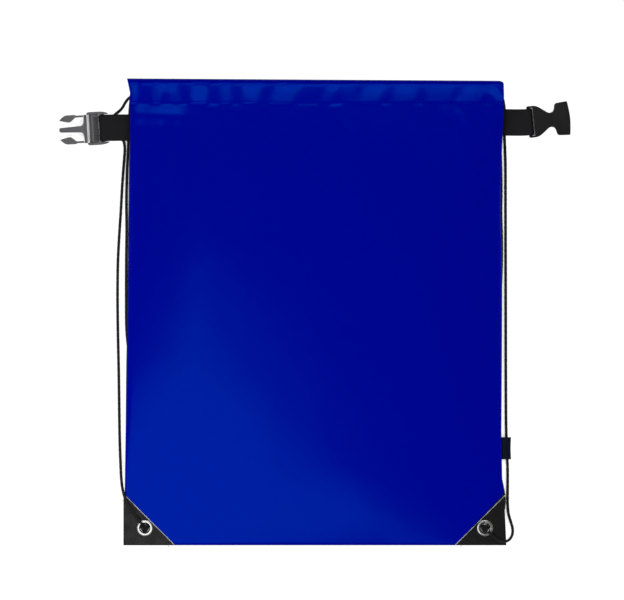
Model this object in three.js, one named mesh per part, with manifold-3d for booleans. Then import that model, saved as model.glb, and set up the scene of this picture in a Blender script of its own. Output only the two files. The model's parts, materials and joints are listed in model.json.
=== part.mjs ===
// Drawstring backpack of coated polyester, lying on its back with the front panel up.
// Millimetres. X runs across the bag, Y towards its mouth and Z up. The origin is on the surface
// under the bag's middle. Left and right are the viewer's, looking down on the front panel.
import * as THREE from "three";
import { mergeVertices } from "three/addons/utils/BufferGeometryUtils.js";
import Module from "manifold-3d";

const wasm = await Module();
wasm.setup();

// Driving sizes
const clearance = 0.3;
const overrun = 30;

const bag = {
  width: 340,
  height: 420,
  loft: 9, // room between the panels in the middle
  crownRun: 70, // distance from an edge at which the front panel is at its full height
  mouth: 6, // how far the mouth stands open in the middle
};
const cloth = { wall: 0.7 };
const cord = { diameter: 2.6, sides: 8, freeSteps: 64, runSteps: 28, turnSteps: 8 };
const channel = { width: 22.5, height: 4.6, pocket: 15, cordOffset: 4.6, turnLead: 0.3 };
const webbing = { width: 24, thickness: 1.4 };
const strap = {
  fromTop: 41, // from the mouth's edge down to its middle line
  freeLeft: 24.87, // from the bag's edge out to the webbing bar of the plug half
  freeRight: 25.03, // and to that of the socket half
  tilt: THREE.MathUtils.degToRad(0.8),
  slack: 2.2, // extra room to each side in the back panel's fold over it
  ramp: 18, // run of that fold's slope
  tail: 12, // length of the end turned back under each loop
  pinch: 5, // where the turned end meets the strap behind the loop
};
const edgeRoom = cord.diameter + 0.4; // height of the side edges, with the cords under them

// Distances in from the sides at which the edges and the corners begin to rise, and are up
const edgeRise = { start: 45, end: 25.5 };
const cornerRise = { start: 68, end: 47.6 };
const patch = { leg: 46, thickness: 0.7 };
const eyelet = {
  fromSide: 17.9,
  fromBottom: 15.5,
  bore: 8,
  wall: 0.6,
  flange: 14.8,
  flangeThickness: 0.9,
  washerThickness: 0.7,
};
const cornerRoom = patch.thickness + eyelet.washerThickness + 2 * clearance - 0.1;
const knot = { length: 8.6, width: 7.4, height: 6.4 };
const label = {
  fromBottom: 87.5, // from the bag's bottom up to its middle
  length: 20,
  overlap: 0.8, // how far it lies on the front panel
  reach: 9.2, // how far it stands out of the side seam
  thickness: 1,
  droop: 1.2,
  tilt: THREE.MathUtils.degToRad(-2),
};

const latch = { barWidth: 3.2, axisHeight: 4.3, loopGap: clearance };
const plug = {
  tilt: THREE.MathUtils.degToRad(3.2),
  webRoom: 0.5, // beside the webbing, between the rails
  railWidth: 2.5,
  thickness: 7,
  rearEnd: 5.2, // how far the rails run behind the webbing bar
  ladderStart: 3.7,
  ladderEnd: 12,
  crossStart: 14.2,
  crossEnd: 16.9,
  prongEnd: 39.3,
  prongRoot: 5.8,
  prongTip: 4.1,
  prongThickness: 5,
  armOuter: 12.5,
  armThickness: 1.8,
  headOuter: 13.2,
  headInner: 6.7,
  headBack: 24.2,
  armEnd: 39,
  toothPitch: 1.35,
  toothGap: 0.5,
  toothDepth: 0.45,
  teeth: 16,
  edge: 0.5,
};
const socket = {
  tilt: THREE.MathUtils.degToRad(6),
  webRoom: 0.5,
  waist: 12.6,
  mouthWidth: 30.6,
  thickness: 8.6,
  plate: 1.5,
  length: 36.8,
  railWidth: 1.8,
  plateStart: 3.7,
  cavityEnd: 13.6,
  ledge: 8.2, // depth of the ledge that the latch heads catch on
  entry: 25.6, // width of the way in
  inside: 27.6,
  edge: 0.6,
};

// Shares of the half height: the bag's half width on the left and on the right, as shares
const outlineShares = [
  [-1, 1.008, 1.008],
  [-0.78, 1.008, 0.996],
  [-0.72, 1.006, 0.988],
  [-0.52, 1.002, 0.983],
  [-0.24, 0.998, 0.985],
  [0.06, 0.991, 0.987],
  [0.31, 0.987, 0.985],
  [0.43, 0.986, 0.979],
  [0.64, 0.983, 0.984],
  [0.73, 0.979, 0.988],
  [0.88, 0.979, 0.996],
  [0.94, 0.979, 0.998],
  [1, 0.995, 0.996],
];
const columnShares = [0, 0.25, 0.5, 0.75]; // from the middle to where the corners begin to rise
const rowShares = [0, 0.022, 0.07, 0.133, 0.175, 0.218, 0.34, 0.5, 0.68, 0.85, 1];
const cornerDownShares = [0.64, 0.78]; // where the corners begin to rise downwards, and are up

const colours = {
  polyester: 0x00008f,
  webbing: 0x202022,
  cord: 0x161618,
  coated: 0x1a1a1c,
  nickel: 0xb4b4b0,
  label: 0x1c1c1e,
  greyPlastic: 0x5c5c5f,
  blackPlastic: 0x242426,
};

// Materials
const material = (color, roughness, metalness = 0) =>
  new THREE.MeshStandardMaterial({ color, roughness, metalness });
const polyester = () => material(colours.polyester, 0.55);
const webbingCloth = () => material(colours.webbing, 0.85);
const braid = () => material(colours.cord, 0.8);
const coatedCloth = () => material(colours.coated, 0.5);
const nickel = () => material(colours.nickel, 0.3, 1);

// Values between the rows of a table
function interpolate(table, at, column = 1) {
  const last = table.length - 1;
  if (at <= table[0][0]) return table[0][column];
  if (at >= table[last][0]) return table[last][column];
  const i = table.findIndex((row) => row[0] >= at);
  const [low, high] = [table[i - 1], table[i]];
  return THREE.MathUtils.mapLinear(at, low[0], high[0], low[column], high[column]);
}

const rise = (value, [from, to]) => THREE.MathUtils.smoothstep(value, from, to);

// Solids: a closed geometry's faces are turned outwards, and joins and cuts go through manifold
function outward(geometry) {
  const p = geometry.attributes.position;
  const index = geometry.index;
  const [a, b, c] = [new THREE.Vector3(), new THREE.Vector3(), new THREE.Vector3()];
  let volume = 0;
  for (let i = 0; i < index.count; i += 3) {
    a.fromBufferAttribute(p, index.getX(i));
    b.fromBufferAttribute(p, index.getX(i + 1));
    c.fromBufferAttribute(p, index.getX(i + 2));
    volume += a.dot(b.cross(c));
  }
  if (volume < 0)
    for (let i = 0; i < index.count; i += 3) {
      const second = index.getX(i + 1);
      index.setX(i + 1, index.getX(i + 2));
      index.setX(i + 2, second);
    }
  return geometry;
}

function solid(geometry) {
  const bare = geometry.clone();
  bare.deleteAttribute("normal");
  bare.deleteAttribute("uv");
  const merged = outward(mergeVertices(bare, 1e-4));
  return new wasm.Manifold(
    new wasm.Mesh({
      numProp: 3,
      vertProperties: merged.attributes.position.array,
      triVerts: new Uint32Array(merged.index.array),
    }),
  );
}

function geometryOf(manifold) {
  const { vertProperties, triVerts } = manifold.getMesh();
  const geometry = new THREE.BufferGeometry();
  geometry.setAttribute("position", new THREE.BufferAttribute(vertProperties, 3));
  geometry.setIndex(new THREE.BufferAttribute(triVerts, 1));
  geometry.computeVertexNormals();
  return geometry;
}

function named(name, shape, look) {
  const geometry = shape.isBufferGeometry ? shape : geometryOf(shape);
  const mesh = new THREE.Mesh(geometry, look);
  mesh.name = name;
  return mesh;
}

function block([x0, x1], [y0, y1], [z0, z1]) {
  const geometry = new THREE.BoxGeometry(x1 - x0, y1 - y0, z1 - z0);
  geometry.translate((x0 + x1) / 2, (y0 + y1) / 2, (z0 + z1) / 2);
  return solid(geometry);
}

// A closed sheet from an upper and a lower face over the same columns and rows
function sheet(columns, rows, upper, lower) {
  const [nu, nv] = [columns.length, rows.length];
  const positions = [];
  for (const face of [upper, lower])
    for (const v of rows) for (const u of columns) positions.push(...face(u, v));
  const top = (i, j) => j * nu + i;
  const bottom = (i, j) => nu * nv + j * nu + i;
  const faces = [];
  const quad = (a, b, c, d) => faces.push(a, b, c, a, c, d);
  for (let j = 0; j < nv - 1; j++)
    for (let i = 0; i < nu - 1; i++) {
      quad(top(i, j), top(i + 1, j), top(i + 1, j + 1), top(i, j + 1));
      quad(bottom(i, j), bottom(i, j + 1), bottom(i + 1, j + 1), bottom(i + 1, j));
    }
  for (let i = 0; i < nu - 1; i++) {
    quad(top(i, 0), bottom(i, 0), bottom(i + 1, 0), top(i + 1, 0));
    quad(top(i + 1, nv - 1), bottom(i + 1, nv - 1), bottom(i, nv - 1), top(i, nv - 1));
  }
  for (let j = 0; j < nv - 1; j++) {
    quad(top(0, j + 1), bottom(0, j + 1), bottom(0, j), top(0, j));
    quad(top(nu - 1, j), bottom(nu - 1, j), bottom(nu - 1, j + 1), top(nu - 1, j + 1));
  }
  return closedGeometry(positions, faces);
}

// A closed body through convex rings that have equally many points
function loft(rings) {
  const n = rings[0].length;
  const positions = rings.flat().flatMap((p) => [p.x, p.y, p.z]);
  const faces = [];
  for (let r = 0; r < rings.length - 1; r++)
    for (let i = 0; i < n; i++) {
      const j = (i + 1) % n;
      const [a, b, c, d] = [r * n + i, r * n + j, (r + 1) * n + j, (r + 1) * n + i];
      faces.push(a, b, c, a, c, d);
    }
  const end = (rings.length - 1) * n;
  for (let i = 1; i < n - 1; i++) {
    faces.push(0, i + 1, i);
    faces.push(end, end + i, end + i + 1);
  }
  return closedGeometry(positions, faces);
}

function closedGeometry(positions, faces) {
  const geometry = new THREE.BufferGeometry();
  geometry.setAttribute("position", new THREE.Float32BufferAttribute(positions, 3));
  geometry.setIndex(new THREE.BufferAttribute(new Uint32Array(faces), 1));
  return outward(geometry);
}

// A cord along a smooth curve through points
function tube(points, steps) {
  const section = new THREE.Shape();
  section.setFromPoints(
    new THREE.EllipseCurve(0, 0, cord.diameter / 2, cord.diameter / 2)
      .getPoints(cord.sides)
      .slice(0, -1),
  );
  const curve = new THREE.CatmullRomCurve3(points, false, "centripetal");
  return new THREE.ExtrudeGeometry(section, { steps, extrudePath: curve, bevelEnabled: false });
}

// The bag's lines
const half = { width: bag.width / 2, height: bag.height / 2 };
const seamY = half.height - channel.width + cloth.wall / 2;
const channelY = half.height - channel.width / 2;
const strapY = half.height - strap.fromTop;
const strapLow = strapY - webbing.width / 2 - strap.slack;
const strapHigh = strapY + webbing.width / 2 + strap.slack;
const labelY = -half.height + label.fromBottom;
const strapRoom = webbing.thickness + clearance;
const mouthHalf = half.width - channel.pocket;

const shareFromSide = (distance) => 1 - distance / half.width;
const columnsRight = [
  ...columnShares.map((s) => s * shareFromSide(cornerRise.start)),
  ...[
    cornerRise.start,
    edgeRise.start,
    (edgeRise.start + edgeRise.end) / 2,
    edgeRise.end,
    edgeRise.end / 2,
    edgeRise.end / 4,
    0,
  ].map(shareFromSide),
];
const columns = [...columnsRight.slice(1).map((s) => -s).reverse(), ...columnsRight];
const bodyTop = strapLow - strap.ramp;
const bodyRows = rowShares.map((s) => THREE.MathUtils.lerp(-half.height, bodyTop, s));
const rows = [...bodyRows, strapLow, strapY, strapHigh, seamY];

const halfWidthAt = (y, side) =>
  half.width * interpolate(outlineShares, y / half.height, side < 0 ? 1 : 2);
const acrossAt = (u, y) => u * halfWidthAt(y, Math.sign(u));

// Heights: the back panel lies on the surface, rises at its side edges and corners, where the
// cords pass under it, and folds over the strap
const riseAcross = (u, { start, end }) =>
  rise(Math.abs(u), [shareFromSide(start), shareFromSide(end)]);
const lift = (u) => edgeRoom * riseAcross(u, edgeRise);
const corner = (u, y) => riseAcross(u, cornerRise) * rise(-y / half.height, cornerDownShares);
const fold = (y) =>
  interpolate(
    [
      [bodyTop, 0],
      [strapLow, strapRoom],
      [strapHigh, strapRoom],
      [seamY, (channel.height - cloth.wall) / 2],
    ],
    y,
  );
const backUnder = (u, y) => lift(u) + cornerRoom * corner(u, y) + fold(y);
const backTop = (u, y) => backUnder(u, y) + cloth.wall;

// The mouth's opening, from nothing at its ends
const mouthOpening = (x) => bag.mouth * Math.max(0, 1 - (x / mouthHalf) ** 2);

// Room between the panels: a crown over the body, and at the seam what the two channels need
const crownRise = (distance) => 1 - (1 - Math.min(distance / bag.crownRun, 1)) ** 2;
function room(u, y) {
  const fromSide = (1 - Math.abs(u)) * halfWidthAt(y, Math.sign(u));
  const crown = bag.loft * crownRise(fromSide) * crownRise(y + half.height) * (1 - corner(u, y));
  const body = clearance + crown;
  const atSeam =
    channel.height + clearance - cloth.wall + mouthOpening(acrossAt(u, channelY));
  const share = interpolate([[strapY, 0], [seamY, 1]], y);
  return THREE.MathUtils.lerp(body, atSeam, share);
}
const frontUnder = (u, y) => backTop(u, y) + room(u, y);
const frontTop = (u, y) => frontUnder(u, y) + cloth.wall;

// The channels' middle heights
const shareAt = (x, y) => x / halfWidthAt(y, Math.sign(x));
const backChannelZ = (x) => lift(shareAt(x, channelY)) + channel.height / 2;
const frontChannelZ = (x) => backChannelZ(x) + channel.height + clearance + mouthOpening(x);

const panelPoint = (height) => (u, y) => [acrossAt(u, y), y, height(u, y)];

// A channel's section: a flattened round, with the seam at one end and the folded edge at the other
function channelRing(x, z, inset) {
  const points = 16;
  const fullness = 2 / 3;
  const bow = (value) => Math.sign(value) * Math.abs(value) ** fullness;
  return Array.from({ length: points }, (_, i) => {
    const angle = (2 * Math.PI * i) / points;
    const y = channelY + (channel.width / 2 - inset) * bow(Math.cos(angle));
    // the outer end of the fold follows the bag's outline
    const fit = halfWidthAt(y, Math.sign(x)) / halfWidthAt(channelY, Math.sign(x));
    return new THREE.Vector3(x * fit, y, z + (channel.height / 2 - inset) * bow(Math.sin(angle)));
  });
}

function channelTube(ends, heightAt) {
  const inner = columns
    .map((u) => acrossAt(u, channelY))
    .filter((x) => x > ends[0] + clearance && x < ends[1] - clearance);
  const stations = [ends[0], ...inner, ends[1]];
  const outer = loft(stations.map((x) => channelRing(x, heightAt(x), 0)));
  const past = [ends[0] - overrun, ...stations, ends[1] + overrun];
  const bore = loft(
    past.map((x) => {
      const held = THREE.MathUtils.clamp(x, ends[0], ends[1]);
      return channelRing(x, heightAt(held), cloth.wall);
    }),
  );
  return solid(outer).subtract(solid(bore));
}

const eyeletAt = (side) => [
  side * (halfWidthAt(-half.height, side) - eyelet.fromSide),
  -half.height + eyelet.fromBottom,
];
const barrelRadius = eyelet.bore / 2 + eyelet.wall;

function eyeletHole(side) {
  const hole = barrelRadius + clearance;
  const geometry = new THREE.CylinderGeometry(hole, hole, 2 * overrun, 20);
  geometry.rotateX(Math.PI / 2);
  geometry.translate(...eyeletAt(side), 0);
  return solid(geometry);
}

const withEyeletHoles = (shape) => shape.subtract(eyeletHole(-1)).subtract(eyeletHole(1));

function backPanel() {
  const body = sheet(columns, rows, panelPoint(backTop), panelPoint(backUnder));
  const ends = [-mouthHalf, mouthHalf];
  return withEyeletHoles(solid(body).add(channelTube(ends, backChannelZ)));
}

// The front channel's upper ply runs on to the bag's edges over the pockets, where the cords turn
function frontPanel() {
  const body = sheet(columns, rows, panelPoint(frontTop), panelPoint(frontUnder));
  const ends = [-halfWidthAt(channelY, -1), halfWidthAt(channelY, 1)];
  let panel = solid(body).add(channelTube(ends, frontChannelZ));
  for (const side of [-1, 1]) {
    const across = [side * mouthHalf, side * (half.width + overrun)].sort((a, b) => a - b);
    const z = frontChannelZ(side * mouthHalf);
    const from = half.height - channel.width + cloth.wall;
    panel = panel.subtract(block(across, [from, half.height + overrun], [-overrun, z]));
  }
  return withEyeletHoles(panel);
}

// A corner patch: a sheet over the front, one under the back and the fold between them round the
// bag's edge, cut to a triangle
function cornerPatch(side) {
  const shares = columns.filter((u) => u * side > 0);
  const fold0 = clearance;
  const fold1 = clearance + patch.thickness;
  const stretched = (height) => (u, y) => {
    const x = acrossAt(u, y) + (Math.abs(u) === 1 ? side * fold1 : 0);
    return [x, y, height(u, y)];
  };
  const leafTop = (u, y) => frontTop(u, y) + clearance + patch.thickness;
  const leafBottom = (u, y) => backUnder(u, y) - clearance - patch.thickness;
  const front = sheet(
    shares,
    bodyRows,
    stretched(leafTop),
    stretched((u, y) => frontTop(u, y) + clearance),
  );
  const back = sheet(
    shares,
    bodyRows,
    stretched((u, y) => backUnder(u, y) - clearance),
    stretched(leafBottom),
  );
  const wallPoint = (height) => (t, y) => [
    side * (halfWidthAt(y, side) + (t ? fold1 : fold0)),
    y,
    height(side, y),
  ];
  const wall = sheet([0, 1], bodyRows, wallPoint(leafTop), wallPoint(leafBottom));
  const edge = halfWidthAt(-half.height, side) + fold1;
  const outline = new THREE.Shape();
  outline.moveTo(side * (edge - patch.leg), -half.height - overrun);
  outline.lineTo(side * (edge - patch.leg), -half.height);
  outline.lineTo(side * edge, -half.height + patch.leg);
  outline.lineTo(side * (edge + overrun), -half.height + patch.leg);
  outline.lineTo(side * (edge + overrun), -half.height - overrun);
  const prism = new THREE.ExtrudeGeometry(outline, { depth: 2 * overrun, bevelEnabled: false });
  prism.translate(0, 0, -overrun);
  return solid(front)
    .add(solid(back))
    .add(solid(wall))
    .intersect(solid(prism))
    .subtract(eyeletHole(side));
}

// Heights in the flat corner round an eyelet
const cornerTop = frontTop(1, -half.height) + clearance + patch.thickness;
const cornerBottom = backUnder(1, -half.height) - clearance - patch.thickness;

function ring(profile, side) {
  const points = profile.map(([r, z]) => new THREE.Vector2(r, z));
  const geometry = new THREE.LatheGeometry([...points, points[0]], 16);
  geometry.rotateX(Math.PI / 2);
  geometry.translate(...eyeletAt(side), 0);
  return solid(geometry);
}

function eyeletBarrel(side) {
  const seat = cornerTop + clearance;
  const foot = cornerBottom - clearance - eyelet.washerThickness;
  const crown = seat + eyelet.flangeThickness;
  const [bore, rim] = [eyelet.bore / 2, eyelet.flange / 2];
  const round = eyelet.flangeThickness / 2;
  return ring(
    [
      [bore, foot],
      [barrelRadius, foot],
      [barrelRadius, seat],
      [rim, seat],
      [rim, seat + round],
      [rim - round, crown],
      [bore + round, crown],
      [bore, crown - round],
    ],
    side,
  );
}

function eyeletWasher(side) {
  const top = cornerBottom - clearance;
  const foot = top - eyelet.washerThickness;
  const inner = barrelRadius + clearance;
  const rim = eyelet.flange / 2;
  const round = eyelet.washerThickness / 2;
  return ring(
    [
      [inner, foot],
      [rim - round, foot],
      [rim, top - round],
      [rim, top],
      [inner, top],
    ],
    side,
  );
}

// A bare folded tab sewn in the right side seam, which lies on the front panel's rim and droops
// outside it
function sideLabel() {
  const across = [-label.overlap, 0, label.reach / 2, label.reach];
  const ends = [labelY - label.length / 2, labelY + label.length / 2];
  const edge = halfWidthAt(labelY, 1);
  const under = (d) =>
    frontTop(1 + Math.min(d, 0) / edge, labelY) +
    clearance -
    (Math.max(d, 0) / label.reach) * label.droop;
  const point = (above) => (d, y) => [
    edge + d + (y - labelY) * Math.tan(label.tilt),
    y,
    under(d) + above,
  ];
  return sheet(across, ends, point(label.thickness), point(0));
}

// Buckle outlines are drawn with u outwards from the webbing bar and v across, and mirrored in v
function mirroredShape(draw) {
  const upper = new THREE.Path();
  draw(upper);
  const points = upper.getPoints(6);
  const lower = points
    .filter((p) => p.y > clearance)
    .map((p) => new THREE.Vector2(p.x, -p.y))
    .reverse();
  return new THREE.Shape([...points, ...lower]);
}

function plate(shape, thickness, bevel) {
  const geometry = new THREE.ExtrudeGeometry(shape, {
    depth: thickness - 2 * bevel,
    bevelEnabled: bevel > 0,
    bevelThickness: bevel,
    bevelSize: bevel,
    bevelOffset: -bevel,
    bevelSegments: 1,
  });
  geometry.translate(0, 0, bevel - thickness / 2);
  return solid(geometry);
}

// A profile in u and height, drawn for the upper side and mirrored, run across the buckle
function crosswise(points, width) {
  const outline = points.map(([u, z]) => new THREE.Vector2(u, z));
  const geometry = new THREE.ExtrudeGeometry(new THREE.Shape(outline), {
    depth: width,
    bevelEnabled: false,
  });
  geometry.rotateX(Math.PI / 2);
  geometry.translate(0, width / 2, 0);
  return solid(geometry);
}

const bothSides = (points) => [
  ...points,
  ...points.map(([u, z]) => [u, -z]).reverse(),
];

function webbingBar(width) {
  const r = latch.barWidth / 2;
  return solid(new THREE.CylinderGeometry(r, r, width, 16));
}

// Plug half: rails with the webbing bar and the ladder bar between them, the cross bar and the
// guide prong
function plugFrame() {
  const window = webbing.width / 2 + plug.webRoom;
  const rail = window + plug.railWidth;
  const armFoot = plug.armOuter - plug.armThickness;
  const outline = mirroredShape((path) => {
    path.moveTo(-plug.rearEnd, window);
    path.lineTo(-plug.rearEnd, window + plug.railWidth / 3);
    path.quadraticCurveTo(-plug.rearEnd / 4, rail, plug.ladderStart, rail);
    path.lineTo(plug.ladderEnd, rail);
    path.quadraticCurveTo(plug.crossStart, rail, plug.crossStart, plug.armOuter + clearance);
    path.lineTo(plug.crossEnd, plug.armOuter + clearance);
    path.lineTo(plug.crossEnd, armFoot - clearance);
    path.quadraticCurveTo(
      plug.crossEnd,
      plug.prongRoot / 2,
      plug.crossEnd + plug.prongRoot / 2,
      plug.prongRoot / 2,
    );
    path.lineTo(plug.prongEnd - plug.prongTip / 4, plug.prongTip / 2);
    path.lineTo(plug.prongEnd, plug.prongTip / 4);
  });
  const bevel = plug.edge;
  const [deep, thin] = [plug.thickness / 2, plug.prongThickness / 2];
  const side = crosswise(
    bothSides([
      [-plug.rearEnd - bevel, deep / 2],
      [-plug.rearEnd / 2, deep],
      [plug.crossStart, deep],
      [plug.crossEnd, thin],
      [plug.prongEnd - plug.prongTip, thin],
      [plug.prongEnd + bevel, thin / 2],
    ]),
    4 * rail,
  );
  const opening = block([-overrun, plug.crossStart], [-window, window], [-overrun, overrun]);
  const between = 2 * window + plug.railWidth;
  return plate(outline, plug.thickness, bevel)
    .intersect(side)
    .subtract(opening)
    .add(webbingBar(between))
    .add(ladderBar(between));
}

// The ladder bar has a roof-shaped section, toothed on the slope towards the webbing
function ladderBar(width) {
  const [start, end] = [plug.ladderStart, plug.ladderEnd];
  const deep = plug.thickness / 2;
  const along = (share) => THREE.MathUtils.lerp(start, end, share);
  const roof = [
    [start, -deep / 2],
    [start, deep / 5],
    [along(0.55), deep * 0.8],
    [along(0.78), deep * 0.88],
    [end, deep / 3],
    [end, -deep / 2],
  ];
  let bar = crosswise(roof, width);
  const first = (-(plug.teeth - 1) / 2) * plug.toothPitch;
  const slope = crosswise(
    [
      [start - overrun, -plug.toothDepth],
      [start, deep / 5 - plug.toothDepth],
      [along(0.55), deep * 0.8 - plug.toothDepth],
      [along(0.55), overrun],
      [start - overrun, overrun],
    ],
    width,
  );
  for (let i = 0; i < plug.teeth; i++) {
    const v = first + i * plug.toothPitch;
    const gap = block([start - overrun, end], [v, v + plug.toothGap], [-overrun, overrun]);
    bar = bar.subtract(slope.intersect(gap));
  }
  return bar;
}

// A latch arm: a thin spring leg with a barbed head, side 1 or -1 across the buckle
function latchArm(side) {
  const [foot, outer, inner] = [
    plug.crossEnd + clearance,
    plug.armOuter,
    plug.armOuter - plug.armThickness,
  ];
  const head = plug.armEnd - plug.headBack;
  const path = new THREE.Shape();
  path.moveTo(foot, side * inner);
  path.lineTo(plug.headBack, side * inner);
  path.lineTo(plug.headBack + head / 3, side * plug.headInner);
  path.lineTo(plug.headBack + head / 2, side * plug.headInner);
  path.lineTo(plug.armEnd, side * (plug.headInner + plug.armThickness));
  path.quadraticCurveTo(
    plug.headBack + head * 0.75,
    side * plug.headOuter,
    plug.headBack + head / 2,
    side * plug.headOuter,
  );
  path.lineTo(plug.headBack, side * plug.headOuter);
  path.lineTo(plug.headBack, side * outer);
  path.lineTo(foot, side * outer);
  return plate(path, plug.prongThickness, plug.armThickness / 6);
}

// Socket half: a waisted body with a flat hollow from its mouth, open at both sides of the waist,
// and a webbing bar across its other end
function socketBody() {
  const r = socket.railWidth;
  const web = webbing.width / 2 + socket.webRoom + r;
  const [waist, mouth] = [socket.waist / 2, socket.mouthWidth / 2];
  const length = socket.length;
  const shoulder = length * 0.66;
  const outline = mirroredShape((path) => {
    path.moveTo(-r, web - r);
    path.quadraticCurveTo(-r, web, 0, web);
    path.lineTo(socket.plateStart, web);
    path.quadraticCurveTo(length * 0.2, web, length * 0.3, web * 0.8);
    path.lineTo(length * 0.45, waist * 1.15);
    path.quadraticCurveTo(length * 0.52, waist * 0.9, length * 0.58, waist * 1.12);
    path.quadraticCurveTo(length * 0.63, waist * 1.4, shoulder - r / 2, mouth * 0.82);
    path.quadraticCurveTo(shoulder, mouth * 0.95, shoulder + r, mouth * 0.96);
    path.lineTo(length * 0.93, mouth);
    path.quadraticCurveTo(length * 0.965, mouth, length * 0.965, mouth * 0.94);
    path.quadraticCurveTo(length, mouth / 3, length, 0);
  });
  const deep = socket.thickness / 2;
  const side = crosswise(
    bothSides([
      [-r - clearance, latch.barWidth / 2],
      [r, deep * 0.75],
      [length * 0.27, deep * 0.92],
      [length * 0.7, deep],
      [length + clearance, deep],
    ]),
    2 * socket.mouthWidth,
  );
  const window = web - r;
  const open = [-overrun, overrun];
  const height = socket.thickness / 2 - socket.plate;
  const catchAt = length - socket.ledge;
  const hollow = [-height, height];
  const wayIn = block([catchAt, length + overrun], [-socket.entry / 2, socket.entry / 2], hollow);
  const inside = block(
    [socket.cavityEnd, catchAt + clearance],
    [-socket.inside / 2, socket.inside / 2],
    hollow,
  );
  return plate(outline, socket.thickness, socket.edge)
    .intersect(side)
    .subtract(block([-overrun, socket.plateStart], [-window, window], open))
    .subtract(wayIn)
    .subtract(inside)
    .add(webbingBar(2 * window + r));
}

// Where a buckle half's webbing bar is, and how the half is turned
function placeOf(side, free, tilt) {
  const x = side * (halfWidthAt(strapY, side) + free);
  return {
    side,
    angle: side < 0 ? Math.PI + tilt : tilt,
    x,
    y: strapY + x * Math.tan(strap.tilt),
    z: latch.axisHeight,
  };
}

const plugPlace = placeOf(-1, strap.freeLeft, plug.tilt);
const socketPlace = placeOf(1, strap.freeRight, socket.tilt);

function placed(place, meshes) {
  const group = new THREE.Group();
  group.position.set(place.x, place.y, place.z);
  group.rotation.z = place.angle;
  group.add(...meshes);
  return group;
}

// The strap: one length of webbing under the back panel, looped round a webbing bar at each end
// and turned back under itself
function strapStation(place, back) {
  const outward2 = new THREE.Vector3(Math.cos(place.angle), Math.sin(place.angle), 0);
  const edgeX = place.side * halfWidthAt(strapY, place.side);
  const edge = new THREE.Vector3(edgeX, strapY + edgeX * Math.tan(strap.tilt), 0);
  const line = new THREE.Vector3(Math.cos(strap.tilt), Math.sin(strap.tilt), 0);
  const bar = new THREE.Vector3(place.x, place.y, 0);
  const length = bar.distanceTo(edge);
  const middle = new THREE.CubicBezierCurve3(
    bar,
    bar.clone().addScaledVector(outward2, -length / 3),
    edge.clone().addScaledVector(line, (place.side * length) / 3),
    edge,
  );
  const t = Math.max(back, 0) / length;
  const at = middle.getPoint(t);
  if (back < 0) at.addScaledVector(outward2, -back);
  const along = middle.getTangent(t).multiplyScalar(-place.side);
  const across = new THREE.Vector3(-along.y, along.x, 0).normalize();
  return { at, across, length };
}

function strapEnd(place) {
  const t = webbing.thickness;
  const round = latch.barWidth / 2 + latch.loopGap + t / 2;
  const { length } = strapStation(place, 0);
  const upperAt = (back) =>
    THREE.MathUtils.mapLinear(back, 0, length, latch.axisHeight + round, edgeRoom + t / 2);
  const section = (back, z) => {
    const { at, across } = strapStation(place, back);
    return { at: at.setZ(z), across };
  };
  const sections = [];
  for (const back of [strap.tail, strap.pinch])
    sections.push(section(back, upperAt(back) - t - clearance));
  const arcSteps = 10;
  for (let i = 0; i <= arcSteps; i++) {
    const angle = THREE.MathUtils.lerp((-2 * Math.PI) / 3, Math.PI / 2, i / arcSteps);
    sections.push(section(-round * Math.cos(angle), latch.axisHeight + round * Math.sin(angle)));
  }
  for (const back of [strap.pinch, strap.tail, (strap.tail + length) / 2])
    sections.push(section(back, upperAt(back)));
  return sections;
}

function crossStrap() {
  const across = new THREE.Vector3(-Math.sin(strap.tilt), Math.cos(strap.tilt), 0);
  const middle = columns.map((u) => {
    const x = acrossAt(u, strapY);
    const y = strapY + x * Math.tan(strap.tilt);
    return { at: new THREE.Vector3(x, y, lift(u) + webbing.thickness / 2), across };
  });
  const sections = [...strapEnd(plugPlace), ...middle, ...strapEnd(socketPlace).reverse()];
  const rings = sections.map(({ at, across: side }, i) => {
    const before = sections[Math.max(i - 1, 0)].at;
    const after = sections[Math.min(i + 1, sections.length - 1)].at;
    const along = after.clone().sub(before).normalize();
    const up = side.clone().cross(along).normalize();
    return [[1, 1], [1, -1], [-1, -1], [-1, 1]].map(([a, b]) =>
      at
        .clone()
        .addScaledVector(side, (a * webbing.width) / 2)
        .addScaledVector(up, (b * webbing.thickness) / 2),
    );
  });
  return loft(rings);
}

// The cords in the channels: each runs through the front channel, turns in the pocket at the far
// side and comes back through the back channel
function cordRun(heightAt, offset) {
  const stations = columns.map((u) => u * mouthHalf);
  const points = stations.map((x) => new THREE.Vector3(x, channelY + offset, heightAt(x)));
  return tube(points, cord.runSteps);
}

function cordTurn(side, offset) {
  const lead = side * (mouthHalf + clearance);
  const start = new THREE.Vector3(lead, channelY + offset, frontChannelZ(side * mouthHalf));
  const end = new THREE.Vector3(lead, channelY - offset, backChannelZ(side * mouthHalf));
  const centre = start.clone().add(end).multiplyScalar(0.5);
  const arm = start.clone().sub(centre);
  const outwards = new THREE.Vector3(side, 0, 0);
  const points = [start];
  const arcPoints = 8;
  for (let i = 0; i <= arcPoints; i++) {
    const angle = (Math.PI * i) / arcPoints;
    points.push(
      centre
        .clone()
        .addScaledVector(arm, Math.cos(angle))
        .addScaledVector(outwards, arm.length() * Math.sin(angle) + channel.turnLead),
    );
  }
  points.push(end);
  return tube(points, cord.turnSteps);
}

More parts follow.
